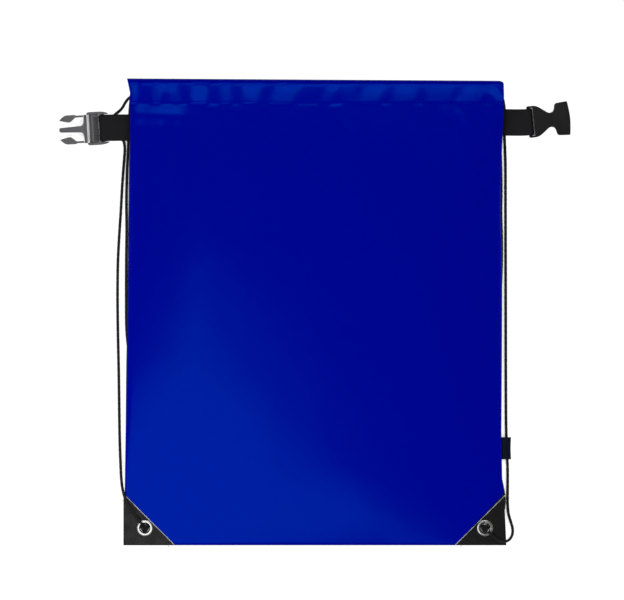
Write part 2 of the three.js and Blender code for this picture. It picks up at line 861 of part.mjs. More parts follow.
// Free strands. A route's points lie outwards from the bag's side, along from its upper or lower
// corner, and above where the cord lies on the surface
const lie = cord.diameter / 2;
const routes = {
  leftOuter: {
    upper: [
      [-10, -15.5, 8.6], [-5.9, -15.2, 7.6], [-2.2, -16.8, 5.6], [0.9, -20.6, 3.2],
      [3.2, -24.7, 1.3], [5.4, -27.5, 0.3], [8.4, -29.9, 0], [11.2, -32.7, 0], [12.4, -37.2, 0],
      [11.6, -42.2, 0], [8.8, -47.2, 0], [5, -51.8, 0], [2.2, -56.8, 0], [1.5, -62.5, 0],
      [1.8, -69, 0], [2.6, -79, 0], [3.9, -98, 0], [5, -118, 0], [6.6, -143, 0], [7.6, -163, 0],
      [8, -190, 0],
    ],
    lower: [
      [7.8, 200, 0], [6.9, 155, 0], [6.4, 118, 0], [6, 94, 0.1], [5.3, 74, 1.7], [4.6, 60, 4.7],
      [3.5, 51, 7.4], [1.4, 43, 8.2], [-2, 36.2, 8.3], [-6.3, 30, 8.5], [-10.8, 23.6, 9.4],
    ],
  },
  leftInner: {
    upper: [
      [-11.2, -6.7, 3.9], [-7.6, -7.9, 3.2], [-5, -11.2, 2.1], [-4, -15.8, 0.9],
      [-3.6, -21.2, 0.1], [-3, -29, 0], [-2.5, -42, 0], [-2.1, -50, 0], [-1.8, -58, 0],
      [-1.5, -66, 0], [-0.9, -76, 0], [-0.4, -90, 0], [0, -110, 0], [-0.2, -135, 0],
      [0.1, -163, 0], [0.2, -198, 0],
    ],
    lower: [
      [-0.1, 195, 0], [-1.3, 181, 0], [-3.2, 167, 0], [-5.8, 145, 0], [-7.6, 115, 0],
      [-8.6, 85, 0], [-9.4, 60, 0], [-10.8, 40, 0], [-13.2, 26, 0],
    ],
  },
  rightOuter: {
    upper: [
      [-10.9, -6.7, 8.6], [-6.7, -8.1, 7.1], [-3.6, -11.4, 4.6], [-1.3, -15.6, 2.2],
      [0.1, -20.2, 0.6], [0.8, -25.5, 0], [0.8, -34, 0], [0.8, -44, 0], [1.1, -54, 0],
      [1.5, -64, 0], [1.8, -73, 0], [1.9, -83, 0], [1.9, -110, 0], [2, -160, 0],
    ],
    lower: [
      [2.1, 210, 0], [2.2, 150, 0], [2.5, 105, 0], [3.3, 82, 0], [3.8, 68, 0], [3.8, 52, 0],
      [3.8, 38, 0], [4.5, 29, 0], [6.4, 22, 0.2], [8.2, 15.4, 1.1], [8, 9.6, 3.6],
      [5.4, 5.2, 7], [2.5, 3.6, 8.1], [-0.4, 3.4, 8.5], [-4.4, 4.6, 8.6], [-9, 7.8, 9.1],
    ],
  },
  rightInner: {
    upper: [
      [-11.4, -16.2, 3.4], [-8.4, -18, 1.9], [-6.3, -20.9, 0.5], [-5.1, -24.7, 0],
      [-4.3, -31, 0], [-3.7, -40, 0], [-3.3, -50, 0], [-2.8, -60, 0], [-2.2, -77, 0],
      [-1.9, -98, 0], [-2.1, -120, 0], [-1.6, -142, 0], [-1.6, -164, 0], [-2.4, -190, 0],
    ],
    lower: [
      [-3.7, 195, 0], [-4.6, 150, 0], [-4.9, 110, 0], [-4.8, 84, 0], [-3.4, 66, 0],
      [-1.1, 54, 0], [0.5, 45, 0], [0.7, 37, 0], [-0.7, 29.5, 0], [-4.4, 24, 0],
      [-9.2, 20.4, 0],
    ],
  },
};

function laid(side, { upper, lower }) {
  const from = (end) => ([out, along, above]) =>
    new THREE.Vector3(side * (half.width + out), end * half.height + along, lie + above);
  return [...upper.map(from(1)), ...lower.map(from(-1))];
}

const exit = (side, offset, heightAt) =>
  new THREE.Vector3(
    side * (mouthHalf + clearance),
    channelY + offset,
    heightAt(side * mouthHalf),
  );

// A knot sits on its eyelet, with its long side towards the outer strand
const knotSeat = cornerTop + eyelet.flangeThickness + 2 * clearance;
const knotCentre = (side) => new THREE.Vector3(...eyeletAt(side), knotSeat + knot.height / 2);

function knotHeading(side, points) {
  const away = points.at(-1).clone().sub(knotCentre(side)).setZ(0);
  return away.normalize();
}

function outerStrand(side, offset, points) {
  const end = knotCentre(side)
    .addScaledVector(knotHeading(side, points), knot.length / 2 + clearance)
    .add(new THREE.Vector3(0, 0, -knot.height / 12));
  return tube([exit(side, offset, frontChannelZ), ...points, end], cord.freeSteps);
}

// The inner strand turns up under the corner and comes through the eyelet to the knot
function innerStrand(side, offset, points) {
  const axis = new THREE.Vector3(...eyeletAt(side), lie);
  const heading = axis.clone().sub(points.at(-1)).setZ(0).normalize();
  const bend = 2 * cord.diameter + clearance;
  const past = (eyelet.bore - cord.diameter) / 2 - clearance;
  const start = axis.clone().addScaledVector(heading, past - bend);
  const climb = [0, 25, 45, 70, 90].map((degrees) => {
    const angle = THREE.MathUtils.degToRad(degrees);
    return start
      .clone()
      .addScaledVector(heading, bend * Math.sin(angle))
      .add(new THREE.Vector3(0, 0, bend * (1 - Math.cos(angle))));
  });
  const top = climb.at(-1).clone().setZ(knotSeat - clearance);
  return tube([exit(side, offset, backChannelZ), ...points, ...climb, top], cord.freeSteps);
}

function knotOf(side, points) {
  const geometry = new THREE.SphereGeometry(0.5, 12, 8);
  const heading = knotHeading(side, points);
  geometry.scale(knot.length, knot.width, knot.height);
  geometry.rotateZ(Math.atan2(heading.y, heading.x));
  geometry.translate(...knotCentre(side));
  return geometry;
}

function cordMeshes(name, side, outerRoute, innerRoute) {
  const offset = side * channel.cordOffset;
  const outer = laid(side, outerRoute);
  const inner = laid(side, innerRoute);
  return [
    named(`drawcord_${name}_front_run`, cordRun(frontChannelZ, offset), braid()),
    named(`drawcord_${name}_back_run`, cordRun(backChannelZ, -offset), braid()),
    named(`drawcord_${name}_turn`, cordTurn(-side, offset), braid()),
    named(`drawcord_${name}_outer_strand`, outerStrand(side, offset, outer), braid()),
    named(`drawcord_${name}_inner_strand`, innerStrand(side, -offset, inner), braid()),
    named(`knot_${name}`, knotOf(side, outer), braid()),
  ];
}

const backpack = new THREE.Group();
backpack.add(
  named("front_panel", frontPanel(), polyester()),
  named("back_panel", backPanel(), polyester()),
  named("corner_patch_left", cornerPatch(-1), coatedCloth()),
  named("corner_patch_right", cornerPatch(1), coatedCloth()),
  named("eyelet_left", eyeletBarrel(-1), nickel()),
  named("eyelet_right", eyeletBarrel(1), nickel()),
  named("eyelet_washer_left", eyeletWasher(-1), nickel()),
  named("eyelet_washer_right", eyeletWasher(1), nickel()),
  named("side_label", sideLabel(), material(colours.label, 0.8)),
  named("cross_strap", crossStrap(), webbingCloth()),
  placed(plugPlace, [
    named("male_buckle_frame", plugFrame(), material(colours.greyPlastic, 0.45)),
    named("latch_arm_upper", latchArm(-1), material(colours.greyPlastic, 0.45)),
    named("latch_arm_lower", latchArm(1), material(colours.greyPlastic, 0.45)),
  ]),
  placed(socketPlace, [
    named("female_buckle_body", socketBody(), material(colours.blackPlastic, 0.5)),
  ]),
  ...cordMeshes("left", -1, routes.leftOuter, routes.leftInner),
  ...cordMeshes("right", 1, routes.rightOuter, routes.rightInner),
);

export default backpack;
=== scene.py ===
"""Looks of a drawstring backpack lying on its back with the front panel up.

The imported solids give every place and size. Cloth, cords, strap and buckle halves are dressed
over them in metres, in the same frame: X across the bag, Y towards its mouth, Z up.
"""

import json
import math
from itertools import accumulate

import bmesh
import bpy
from bpy.props import FloatProperty, FloatVectorProperty, PointerProperty
from mathutils import Matrix, Vector, noise


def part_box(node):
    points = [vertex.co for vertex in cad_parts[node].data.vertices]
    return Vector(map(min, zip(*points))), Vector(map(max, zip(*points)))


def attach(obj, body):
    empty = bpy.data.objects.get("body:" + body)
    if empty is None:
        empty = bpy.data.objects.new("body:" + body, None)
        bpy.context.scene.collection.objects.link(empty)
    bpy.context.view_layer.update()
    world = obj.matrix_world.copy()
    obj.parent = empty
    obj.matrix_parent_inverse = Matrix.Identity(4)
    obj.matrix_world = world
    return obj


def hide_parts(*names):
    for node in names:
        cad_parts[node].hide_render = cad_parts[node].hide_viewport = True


bl_info = {
    "name": "Drawstring backpack",
    "version": (1, 0, 0),
    "blender": (4, 5, 0),
    "location": "View3D > Sidebar > Backpack",
    "description": "Dresses the solids of a drawstring backpack: cloth, cords, strap and buckle",
    "category": "Object",
}

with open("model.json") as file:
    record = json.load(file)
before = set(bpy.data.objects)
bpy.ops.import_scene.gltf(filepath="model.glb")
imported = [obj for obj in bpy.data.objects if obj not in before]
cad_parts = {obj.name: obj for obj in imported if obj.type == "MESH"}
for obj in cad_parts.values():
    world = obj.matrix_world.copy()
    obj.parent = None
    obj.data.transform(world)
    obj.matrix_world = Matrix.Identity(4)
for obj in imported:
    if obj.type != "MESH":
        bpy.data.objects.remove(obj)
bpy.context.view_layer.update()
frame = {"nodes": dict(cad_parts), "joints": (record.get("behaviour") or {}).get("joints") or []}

MM = 0.001


def linear(code):
    """An sRGB hex value as linear light"""
    parts = [int(code[i : i + 2], 16) / 255 for i in (1, 3, 5)]
    return tuple(p / 12.92 if p <= 0.04045 else ((p + 0.055) / 1.055) ** 2.4 for p in parts)


# ---- Sizes and colours ----


def length_prop(name, text, default):
    return FloatProperty(name=name, description=text, default=default, unit="LENGTH", min=0)


def colour_prop(name, text, code):
    return FloatVectorProperty(
        name=name, description=text, default=linear(code), subtype="COLOR", min=0, max=1
    )


class BackpackCloth(bpy.types.PropertyGroup):
    width: length_prop("Width", "Width of the bag lying flat", 0.34)
    height: length_prop("Height", "Height of the bag from its bottom to the mouth", 0.42)
    loft: length_prop("Loft", "Room between the panels in the middle", 0.009)
    crown_run: length_prop("Crown run", "Distance from an edge to the full loft", 0.07)
    mouth: length_prop("Mouth", "How far the mouth stands open", 0.006)
    channel: length_prop("Channel", "Width of the cord channel at the mouth", 0.0225)
    thickness: length_prop("Thickness", "Thickness of the cloth as drawn", 0.0005)
    colour: colour_prop("Cloth", "Colour of the coated polyester", "#00008C")
    gloss: colour_prop("Gloss", "Tint of the cloth's shine", "#0078FF")
    patch: colour_prop("Patch", "Colour of the coated corner patches", "#0B0B0C")
    patch_edge: colour_prop("Patch edge", "Colour of a patch's cut edge", "#B4B6BC")
    label: colour_prop("Label", "Colour of the side label", "#080C1C")
    thread: colour_prop("Thread", "Colour of the hem's sewing thread", "#00028A")


class BackpackCords(bpy.types.PropertyGroup):
    diameter: length_prop("Diameter", "Diameter of the braided cord", 0.0026)
    colour: colour_prop("Cord", "Colour of the cord", "#141416")


class BackpackStrap(bpy.types.PropertyGroup):
    width: length_prop("Width", "Width of the webbing", 0.024)
    thickness: length_prop("Thickness", "Thickness of the webbing", 0.0014)
    colour: colour_prop("Webbing", "Colour of the webbing", "#18181A")


class BackpackBuckle(bpy.types.PropertyGroup):
    edge: length_prop("Edge", "Rounding of the moulded edges", 0.00028)
    plug: colour_prop("Plug", "Colour of the plug half", "#58585B")
    socket: colour_prop("Socket", "Colour of the socket half", "#121214")
    eyelet: colour_prop("Eyelet", "Colour of the plated eyelets", "#C9C9C6")


class BackpackStage(bpy.types.PropertyGroup):
    floor: colour_prop("Floor", "Colour of the floor", "#F4F4F4")
    view: length_prop("View", "Width that the picture takes in", 0.5628)
    key: FloatProperty(name="Key", description="Level of the soft key light", default=0.85, min=0)
    fill: FloatProperty(name="Fill", description="Level of the side lights", default=5.4, min=0)
    sky: FloatProperty(name="Sky", description="Level of the room light", default=0.17, min=0)


# ---- Small tools ----


def feed(node, links):
    """Links a node's sockets, each from a socket or from another node's first output"""
    for key, source in links.items():
        if isinstance(source, bpy.types.Node):
            source = source.outputs[0]
        node.id_data.links.new(source, node.inputs[key])


def add_node(tree, kind, settings=None, links=None):
    """Adds a node: settings are its properties and unlinked sockets, links its fed sockets"""
    node = tree.nodes.new(kind)
    for key, value in (settings or {}).items():
        if isinstance(key, str) and hasattr(node, key) and key not in node.inputs:
            setattr(node, key, value)
        else:
            node.inputs[key].default_value = value
    feed(node, links or {})
    return node


def new_material(name, colour, roughness, metallic=0.0, **shine):
    """A material with its Principled shader; shine names more of the shader's own sockets"""
    material = bpy.data.materials.new(name)
    material.use_nodes = True
    tree = material.node_tree
    shader = tree.nodes["Principled BSDF"]
    shader.inputs["Base Color"].default_value = (*colour, 1)
    shader.inputs["Roughness"].default_value = roughness
    shader.inputs["Metallic"].default_value = metallic
    for key, value in shine.items():
        shader.inputs[key.replace("_", " ")].default_value = value
    return material, tree, shader


def finish_piece(name, bm, material, body="bag"):
    """Makes the bmesh an object in place, with its material and its body"""
    mesh = bpy.data.meshes.new(name)
    bm.to_mesh(mesh)
    bm.free()
    mesh.polygons.foreach_set("use_smooth", [True] * len(mesh.polygons))
    mesh.materials.append(material)
    piece = bpy.data.objects.new(name, mesh)
    bpy.context.scene.collection.objects.link(piece)
    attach(piece, body)
    return piece


def thicken(piece, thickness):
    """Gives a sheet its thickness, inwards from its face"""
    shell = piece.modifiers.new("thickness", "SOLIDIFY")
    shell.thickness = thickness
    shell.offset = -1


def round_edges(piece, width):
    """Rounds a piece's sharp edges"""
    rounding = piece.modifiers.new("edge", "BEVEL")
    rounding.width = width
    rounding.segments = 2
    rounding.limit_method = "ANGLE"
    return rounding


def step(value, low, high):
    """Smooth rise from 0 at low to 1 at high"""
    t = min(max((value - low) / (high - low), 0), 1)
    return t * t * (3 - 2 * t)


def between(table, at, column=1):
    """The value at a place between a table's rows"""
    if at <= table[0][0]:
        return table[0][column]
    for low, high in zip(table, table[1:]):
        if at <= high[0]:
            share = (at - low[0]) / (high[0] - low[0])
            return low[column] + share * (high[column] - low[column])
    return table[-1][column]


# ---- The bag's lines, in millimetres, as its solids have them ----

# Rows of: share of the half height, then the left and the right half width as shares
OUTLINE = (
    (-1, 1.008, 1.008),
    (-0.78, 1.008, 0.996),
    (-0.72, 1.006, 0.988),
    (-0.52, 1.002, 0.983),
    (-0.24, 0.998, 0.985),
    (0.06, 0.991, 0.987),
    (0.31, 0.987, 0.985),
    (0.43, 0.986, 0.979),
    (0.64, 0.983, 0.984),
    (0.73, 0.979, 0.988),
    (0.88, 0.979, 0.996),
    (0.94, 0.979, 0.998),
    (1, 0.995, 0.996),
)


class BagLines:
    """Heights and widths of the lying bag. A place across is a share u of the half width"""

    def __init__(self, cloth):
        self.half_w = cloth.width / MM / 2
        self.half_h = cloth.height / MM / 2
        self.loft = cloth.loft / MM
        self.run = cloth.crown_run / MM
        self.mouth = cloth.mouth / MM
        self.channel = cloth.channel / MM
        # How far the side edges and the corners lie above the floor, and where they rise
        self.edge_room, self.edge_rise = 3.0, (45.0, 25.5)
        self.corner_room, self.corner_rise, self.corner_along = 1.9, (68.0, 47.6), (0.64, 0.78)
        # Slack past the solid's edge and width of the rolled seam, left and right
        self.slack = {-1: 0.3, 1: 1.0}
        self.roll = {-1: 5.0, 1: 2.0}
        self.wall = 0.7
        self.gap = 0.3
        self.channel_y = self.half_h - self.channel / 2
        self.seam_y = self.half_h - self.channel + self.wall / 2
        self.mouth_half = self.half_w - 15
        # Heights of the channels' middles: the back one over the lifted edge, the front over it
        self.back_rise, self.front_rise = 2.3, 4.9
        # Shares over which the front sinks to a corner, and places over which it meets the seam
        self.corner_blend, self.seam_blend = (0.2, 0.9), (70, self.seam_y + 12)
        # Rows of: place along, and how far the back lies over the strap there
        self.folds = ((136.8, 0.0), (154.8, 1.7), (183.2, 1.7), (self.seam_y, 1.95))

    def half_width(self, y, side):
        """Half width at a place along, on the side that a number's sign gives"""
        return self.half_w * between(OUTLINE, y / self.half_h, 1 if side < 0 else 2)

    def across(self, u, y):
        """The place across of a share, with the cloth's slack past the solid's edge"""
        return u * (self.half_width(y, u) + self.slack[-1 if u < 0 else 1] * abs(u) ** 8)

    def rise_across(self, u, distances):
        start, end = (1 - d / self.half_w for d in distances)
        return step(abs(u), start, end)

    def lift(self, u):
        """How far the back panel lies above the floor"""
        return self.edge_room * self.rise_across(u, self.edge_rise)

    def corner(self, u, y):
        """How far a place is into a lower corner, from 0 to 1"""
        return self.rise_across(u, self.corner_rise) * step(-y / self.half_h, *self.corner_along)

    def back_under(self, u, y):
        return self.lift(u) + self.corner_room * self.corner(u, y) + between(self.folds, y)

    def crown(self, distance):
        """The share of the full loft at a distance from an edge"""
        return 1 - (1 - min(distance / self.run, 1)) ** 2

    def opening(self, x):
        """How far the mouth gapes, most in its middle"""
        return self.mouth * max(0, 1 - (x / self.mouth_half) ** 2)

    def front_top(self, u, y):
        """The front panel, taut: one soft crown from edge to edge, flat in the lower corners"""
        from_side = (1 - abs(u)) * self.half_width(y, u)
        edge = self.edge_room + 2 * self.wall + self.gap
        crown = self.crown(max(from_side, 0)) * self.crown(y + self.half_h)
        height = edge + (self.loft - self.edge_room) * crown
        height += self.side_roll(from_side, u)
        low_corner = step(-y / self.half_h, *self.corner_blend)
        corner = step(abs(u), *self.corner_blend) * low_corner
        height += (edge + self.corner_room - height) * corner
        seam = self.channel_z(self.across(u, self.channel_y), 1) + HEM_PROFILE[0][2]
        return height + (seam - height) * step(y, *self.seam_blend)

    def side_roll(self, from_side, u):
        """How far the sewn side edge stands up within its rolled seam"""
        wide = self.roll[-1 if u < 0 else 1]
        left, right = 1.3, 0.4
        tall = left - (left - right) * step(u, -0.8, 0.8)
        return tall * (1 - (1 - min(max(from_side, 0) / wide, 1)) ** 2)

    def side_seam(self, u):
        """How far a share is into the sewn side seam"""
        return step(abs(u), 0.93, 0.995)

    def channel_z(self, x, sign):
        """Height of the front channel's middle, or of the back one's for a sign of -1"""
        height = self.lift(x / self.half_width(self.channel_y, x)) + self.back_rise
        return height + self.front_rise + self.opening(x) if sign > 0 else height


# ---- Swept pieces: cords and webbing ----


# The spans of four neighbouring points that each round of mixing pairs takes
CURVE_SPANS = (((0, 1), (1, 2), (2, 3)), ((0, 2), (1, 3)), ((1, 2),))


def smooth_path(points, spacing):
    """Points at an even spacing along a smooth curve through the given ones"""
    ends = [2 * points[0] - points[1], *points, 2 * points[-1] - points[-2]]
    dense, steps = [], 24
    for i in range(1, len(ends) - 2):
        near = ends[i - 1 : i + 3]
        knots = [0.0]
        for a, b in zip(near, near[1:]):
            knots.append(knots[-1] + (b - a).length ** 0.5)
        for k in range(steps):
            t = knots[1] + (knots[2] - knots[1]) * k / steps
            mixed = near
            for spans in CURVE_SPANS:
                mixed = [
                    a.lerp(b, (t - knots[low]) / (knots[high] - knots[low]))
                    for a, b, (low, high) in zip(mixed, mixed[1:], spans)
                ]
            dense.append(mixed[0])
    dense.append(points[-1].copy())
    runs = run_sums(dense)
    count = max(2, round(runs[-1] / spacing))
    even, i = [], 0
    for k in range(count + 1):
        want = runs[-1] * k / count
        while i < len(runs) - 2 and runs[i + 1] < want:
            i += 1
        share = (want - runs[i]) / max(runs[i + 1] - runs[i], 1e-9)
        even.append(dense[i].lerp(dense[i + 1], min(share, 1)))
    return even


def run_sums(points):
    """How far along a path each of its points lies"""
    return [0.0, *accumulate((b - a).length for a, b in zip(points, points[1:]))]


def path_tangents(path, closed=False):
    """The direction at each of a path's points"""
    before, after = (path[-1], path[0]) if closed else (path[0], path[-1])
    around = [before, *path, after]
    return [(b - a).normalized() for a, b in zip(around, around[2:])]


def sweep(rings, notes, closed=False):
    """Extrudes a loop of edges through rings of points, and writes each point's note"""
    bm = bmesh.new()
    layer = bm.verts.layers.float_vector.new("run")
    circle = bmesh.ops.create_circle(bm, segments=len(rings[0]), radius=MM)
    first = list(circle["verts"])
    loop, edges = first, list(bm.edges)
    for i, (ring, note) in enumerate(zip(rings, notes)):
        if i:
            made = bmesh.ops.extrude_edge_only(bm, edges=edges)["geom"]
            edges = [g for g in made if isinstance(g, bmesh.types.BMEdge)]
            fresh = {g for g in made if isinstance(g, bmesh.types.BMVert)}
            around = [[edge.other_vert(vert) for edge in vert.link_edges] for vert in loop]
            loop = [next(vert for vert in verts if vert in fresh) for verts in around]
        for vert, point, words in zip(loop, ring, note):
            vert.co = point
            vert[layer] = words
    if closed:
        bmesh.ops.bridge_loops(bm, edges=[e for e in bm.edges if e.is_boundary])
    else:
        bmesh.ops.contextual_create(bm, geom=first)
        bmesh.ops.contextual_create(bm, geom=loop)
    bmesh.ops.recalc_face_normals(bm, faces=bm.faces)
    return bm


def cord_mesh(path, radius, closed=False):
    """A braided cord: yarns that turn right and left cross along the path"""
    # Yarns each way, the length of one turn, and how deep and how high on the mean they lie
    sides, yarns, lay, depth, mean = 12, 4, 5.2 * MM, 0.085 * MM, 0.6
    rings, notes = [], []
    tangents = path_tangents(path, closed)
    up = Vector((0, 0, 1)) if abs(tangents[0].z) < 0.9 else Vector((1, 0, 0))
    side = tangents[0].cross(up).normalized()
    for point, tangent, along in zip(path, tangents, run_sums(path)):
        side = (side - tangent * side.dot(tangent)).normalized()
        other = tangent.cross(side)
        ring, note = [], []
        twist = 2 * math.pi * along / lay
        for k in range(sides):
            angle = 2 * math.pi * k / sides
            right = math.cos(yarns * angle + twist)
            left = math.cos(yarns * angle - twist)
            reach = radius + depth * (max(right, left) - mean)
            ring.append(point + reach * (side * math.cos(angle) + other * math.sin(angle)))
            note.append((along / MM, math.cos(angle), math.sin(angle)))
        rings.append(ring)
        notes.append(note)
    return sweep(rings, notes, closed)


def plain_tube(path, radius):
    """A smooth bead along a path"""
    sides = 8
    angles = [2 * math.pi * k / sides for k in range(sides)]
    rings, notes = [], []
    for i, (point, tangent) in enumerate(zip(path, path_tangents(path))):
        side = tangent.cross(Vector((0, 0, 1))).normalized()
        other = tangent.cross(side)
        rings.append([point + radius * (side * math.cos(a) + other * math.sin(a)) for a in angles])
        notes.append([(i, k, 0) for k in range(sides)])
    return sweep(rings, notes)


# ---- Cord routes, in millimetres: outwards from the bag's side, along from its upper or lower
# corner, and in some rows how far above the surface ----

ROUTES = {
    "left_outer": (
        (
            (-10, -15.5, 8.6), (-5.9, -15.2, 7.6), (-2.2, -16.8, 5.6), (0.9, -20.6, 3.2),
            (3.2, -24.7, 1.3), (5.4, -27.5, 0.3), (8.4, -29.9), (11.2, -32.7), (12.4, -37.2),
            (11.6, -42.2), (8.8, -47.2), (5, -51.8), (2.2, -56.8), (1.5, -62.5), (1.8, -69),
            (2.6, -79), (3.9, -98), (5, -118), (6.6, -143), (7.6, -163), (8, -190),
        ),
        (
            (7.8, 200), (6.9, 155), (6.4, 118), (6, 94, 0.1), (5.3, 74, 1.7), (4.6, 60, 4.7),
            (3.5, 51, 7.4), (1.4, 43, 8.2), (-2, 36.2, 8.3), (-6.3, 30, 8.5),
            (-10.8, 23.6, 9.4),
        ),
    ),
    "left_inner": (
        (
            (-11.2, -6.7, 3.9), (-7.6, -7.9, 3.2), (-5, -11.2, 2.1), (-4, -15.8, 0.9),
            (-3.6, -21.2, 0.1), (-3, -29), (-2.5, -42), (-2.1, -50), (-1.8, -58), (-1.5, -66),
            (-0.9, -76), (-0.4, -90), (0, -110), (-0.2, -135), (0.1, -163), (0.2, -198),
        ),
        (
            (-0.1, 195), (-1.3, 181), (-3.2, 167), (-5.8, 145), (-7.6, 115), (-8.6, 85),
            (-9.4, 60), (-10.8, 40), (-13.2, 26),
        ),
    ),
    "right_outer": (
        (
            (-10.9, -6.7, 8.6), (-6.7, -8.1, 7.1), (-3.6, -11.4, 4.6), (-1.3, -15.6, 2.2),
            (0.1, -20.2, 0.6), (0.8, -25.5), (0.8, -34), (0.8, -44), (1.1, -54), (1.5, -64),
            (1.8, -73), (1.9, -83), (1.9, -110), (2, -160),
        ),
        (
            (2.1, 210), (2.2, 150), (2.5, 105), (3.3, 82), (3.8, 68), (3.8, 52), (3.8, 38),
            (4.5, 29), (6.4, 22, 0.2), (8.2, 15.4, 1.1), (8, 9.6, 3.6), (5.4, 5.2, 7),
            (2.5, 3.6, 8.1), (-0.4, 3.4, 8.5), (-4.4, 4.6, 8.6), (-9, 7.8, 9.1),
        ),
    ),
    "right_inner": (
        (
            (-11.4, -16.2, 3.4), (-8.4, -18, 1.9), (-6.3, -20.9, 0.5), (-5.1, -24.7),
            (-4.3, -31), (-3.7, -40), (-3.3, -50), (-2.8, -60), (-2.2, -77), (-1.9, -98),
            (-2.1, -120), (-1.6, -142), (-1.6, -164), (-2.4, -190),
        ),
        (
            (-3.7, 195), (-4.6, 150), (-4.9, 110), (-4.8, 84), (-3.4, 66), (-1.1, 54),
            (0.5, 45), (0.7, 37), (-0.7, 29.5), (-4.4, 24), (-9.2, 20.4),
        ),
    ),
}
CORD_OFFSET = 4.6  # of the cords from the channel's middle line
KNOT_SEAT, KNOT_HEIGHT, KNOT_LENGTH = 9.1, 6.4, 8.6  # the seat's height is over the floor
EYELET_FROM_SIDE, EYELET_FROM_BOTTOM = 17.9, 15.5
EYELET_BORE = 8


def eyelet_at(lines, side):
    """The foot of an eyelet's axis"""
    x = side * (lines.half_width(-lines.half_h, side) - EYELET_FROM_SIDE)
    return Vector((x, -lines.half_h + EYELET_FROM_BOTTOM, 0))


def strand_path(lines, name, diameter):
    """The points of a free strand, in millimetres, from its channel to its knot"""
    side = -1 if name.startswith("left") else 1
    lie = diameter / 2
    outer = name.endswith("outer")
    sign = 1 if outer else -1
    start_y = lines.channel_y + side * sign * CORD_OFFSET
    start_z = lines.channel_z(side * lines.mouth_half, sign)
    points = [Vector((side * (lines.mouth_half + lines.gap), start_y, start_z))]
    for end, rows in zip((1, -1), ROUTES[name]):
        for out, along, *above in rows:
            place = (side * (lines.half_w + out), end * lines.half_h + along, lie + sum(above))
            points.append(Vector(place))
    eyelet = eyelet_at(lines, side)
    if outer:
        centre = eyelet + Vector((0, 0, KNOT_SEAT + KNOT_HEIGHT / 2))
        away = (points[-1] - centre) * Vector((1, 1, 0))
        reach = KNOT_LENGTH / 2 + lines.gap
        points.append(centre + away.normalized() * reach - Vector((0, 0, KNOT_HEIGHT / 12)))
        return points
    # The inner strand goes under the patch, and bends up against the far side of the bore
    axis = eyelet + Vector((0, 0, lie))
    heading = ((axis - points[-1]) * Vector((1, 1, 0))).normalized()
    bend = 2 * diameter + lines.gap
    past = (EYELET_BORE - diameter) / 2 - lines.gap
    start = axis + heading * (past - bend)
    for degrees in (0, 25, 45, 70, 90):
        angle = math.radians(degrees)
        rise = Vector((0, 0, bend * (1 - math.cos(angle))))
        points.append(start + heading * bend * math.sin(angle) + rise)
    top = points[-1].copy()
    top.z = KNOT_SEAT - lines.gap
    points.append(top)
    return points


# ---- Materials ----


def wave_scale(pitch):
    """The wave texture's scale that gives bands of a pitch in millimetres"""
    return 2 * math.pi / (pitch * MM) / 20


def uneven_shine(tree, shader, place, grain, detail, least, most):
    """Varies the roughness by a noise of a grain in millimetres, and returns the noise"""
    marks = add_node(
        tree,
        "ShaderNodeTexNoise",
        {"Scale": 1 / (grain * MM), "Detail": detail},
        {"Vector": place},
    )
    rough = add_node(
        tree,
        "ShaderNodeMapRange",
        {"From Min": 0.3, "From Max": 0.7, "To Min": least, "To Max": most},
        {"Value": marks},
    )
    feed(shader, {"Roughness": rough})
    return marks


def between_shades(tree, shader, colour, low, high, share):
    """Colours the shader from low to high times the colour, by a share"""
    shades = {6: (*[c * low for c in colour], 1), 7: (*[c * high for c in colour], 1)}
    tone = add_node(tree, "ShaderNodeMix", {"data_type": "RGBA", **shades}, {0: share})
    feed(shader, {"Base Color": tone.outputs[2]})


def polyester(cloth):
    """Polyester taffeta with a polyurethane coat, plain woven and calendered: a smooth saturated
    face with a tinted satin shine, and a weave that only shows close to"""
    material, tree, shader = new_material(
        "coated_polyester_plain_weave",
        cloth.colour,
        0.22,
        Specular_IOR_Level=0.5,
        Specular_Tint=(*cloth.gloss, 1),
    )
    place = add_node(tree, "ShaderNodeTexCoord").outputs["Object"]
    # Threads of 0.13 mm, drawn at 0.6 mm so that they show
    warp, weft = (
        add_node(
            tree,
            "ShaderNodeTexWave",
            {"bands_direction": way, "Scale": wave_scale(0.6), "Distortion": 0.4},
            {"Vector": place},
        ).outputs["Fac"]
        for way in "XY"
    )
    weave = add_node(tree, "ShaderNodeMath", {"operation": "MULTIPLY"}, {0: warp, 1: weft})
    # Faint creases from folding, 35.7 mm wide
    slack = add_node(
        tree,
        "ShaderNodeTexNoise",
        {"Scale": 1 / (35.7 * MM), "Detail": 3.0, "Roughness": 0.45},
        {"Vector": place},
    )
    fine = add_node(
        tree, "ShaderNodeBump", {"Strength": 0.06, "Distance": 0.05 * MM}, {"Height": weave}
    )
    bump = add_node(
        tree,
        "ShaderNodeBump",
        {"Strength": 0.12, "Distance": 2.0 * MM},
        {"Height": slack, "Normal": fine},
    )
    feed(shader, {"Normal": bump})
    return material


def coated_cloth(cloth):
    """Woven cloth with a thick vinyl coat, embossed while warm: black with a soft grey shine on
    a fine pebble grain"""
    material, tree, shader = new_material(
        "vinyl_coated_cloth_embossed", cloth.patch, 0.42, Specular_IOR_Level=0.25
    )
    place = add_node(tree, "ShaderNodeTexCoord").outputs["Object"]
    # Pebbles of 0.8 mm, and wear in spots of 9 mm
    grain = add_node(tree, "ShaderNodeTexVoronoi", {"Scale": 1 / (0.8 * MM)}, {"Vector": place})
    uneven_shine(tree, shader, place, 9, 4.0, 0.34, 0.52)
    bump = add_node(
        tree, "ShaderNodeBump", {"Strength": 0.35, "Distance": 0.12 * MM}, {"Height": grain}
    )
    feed(shader, {"Normal": bump})
    return material


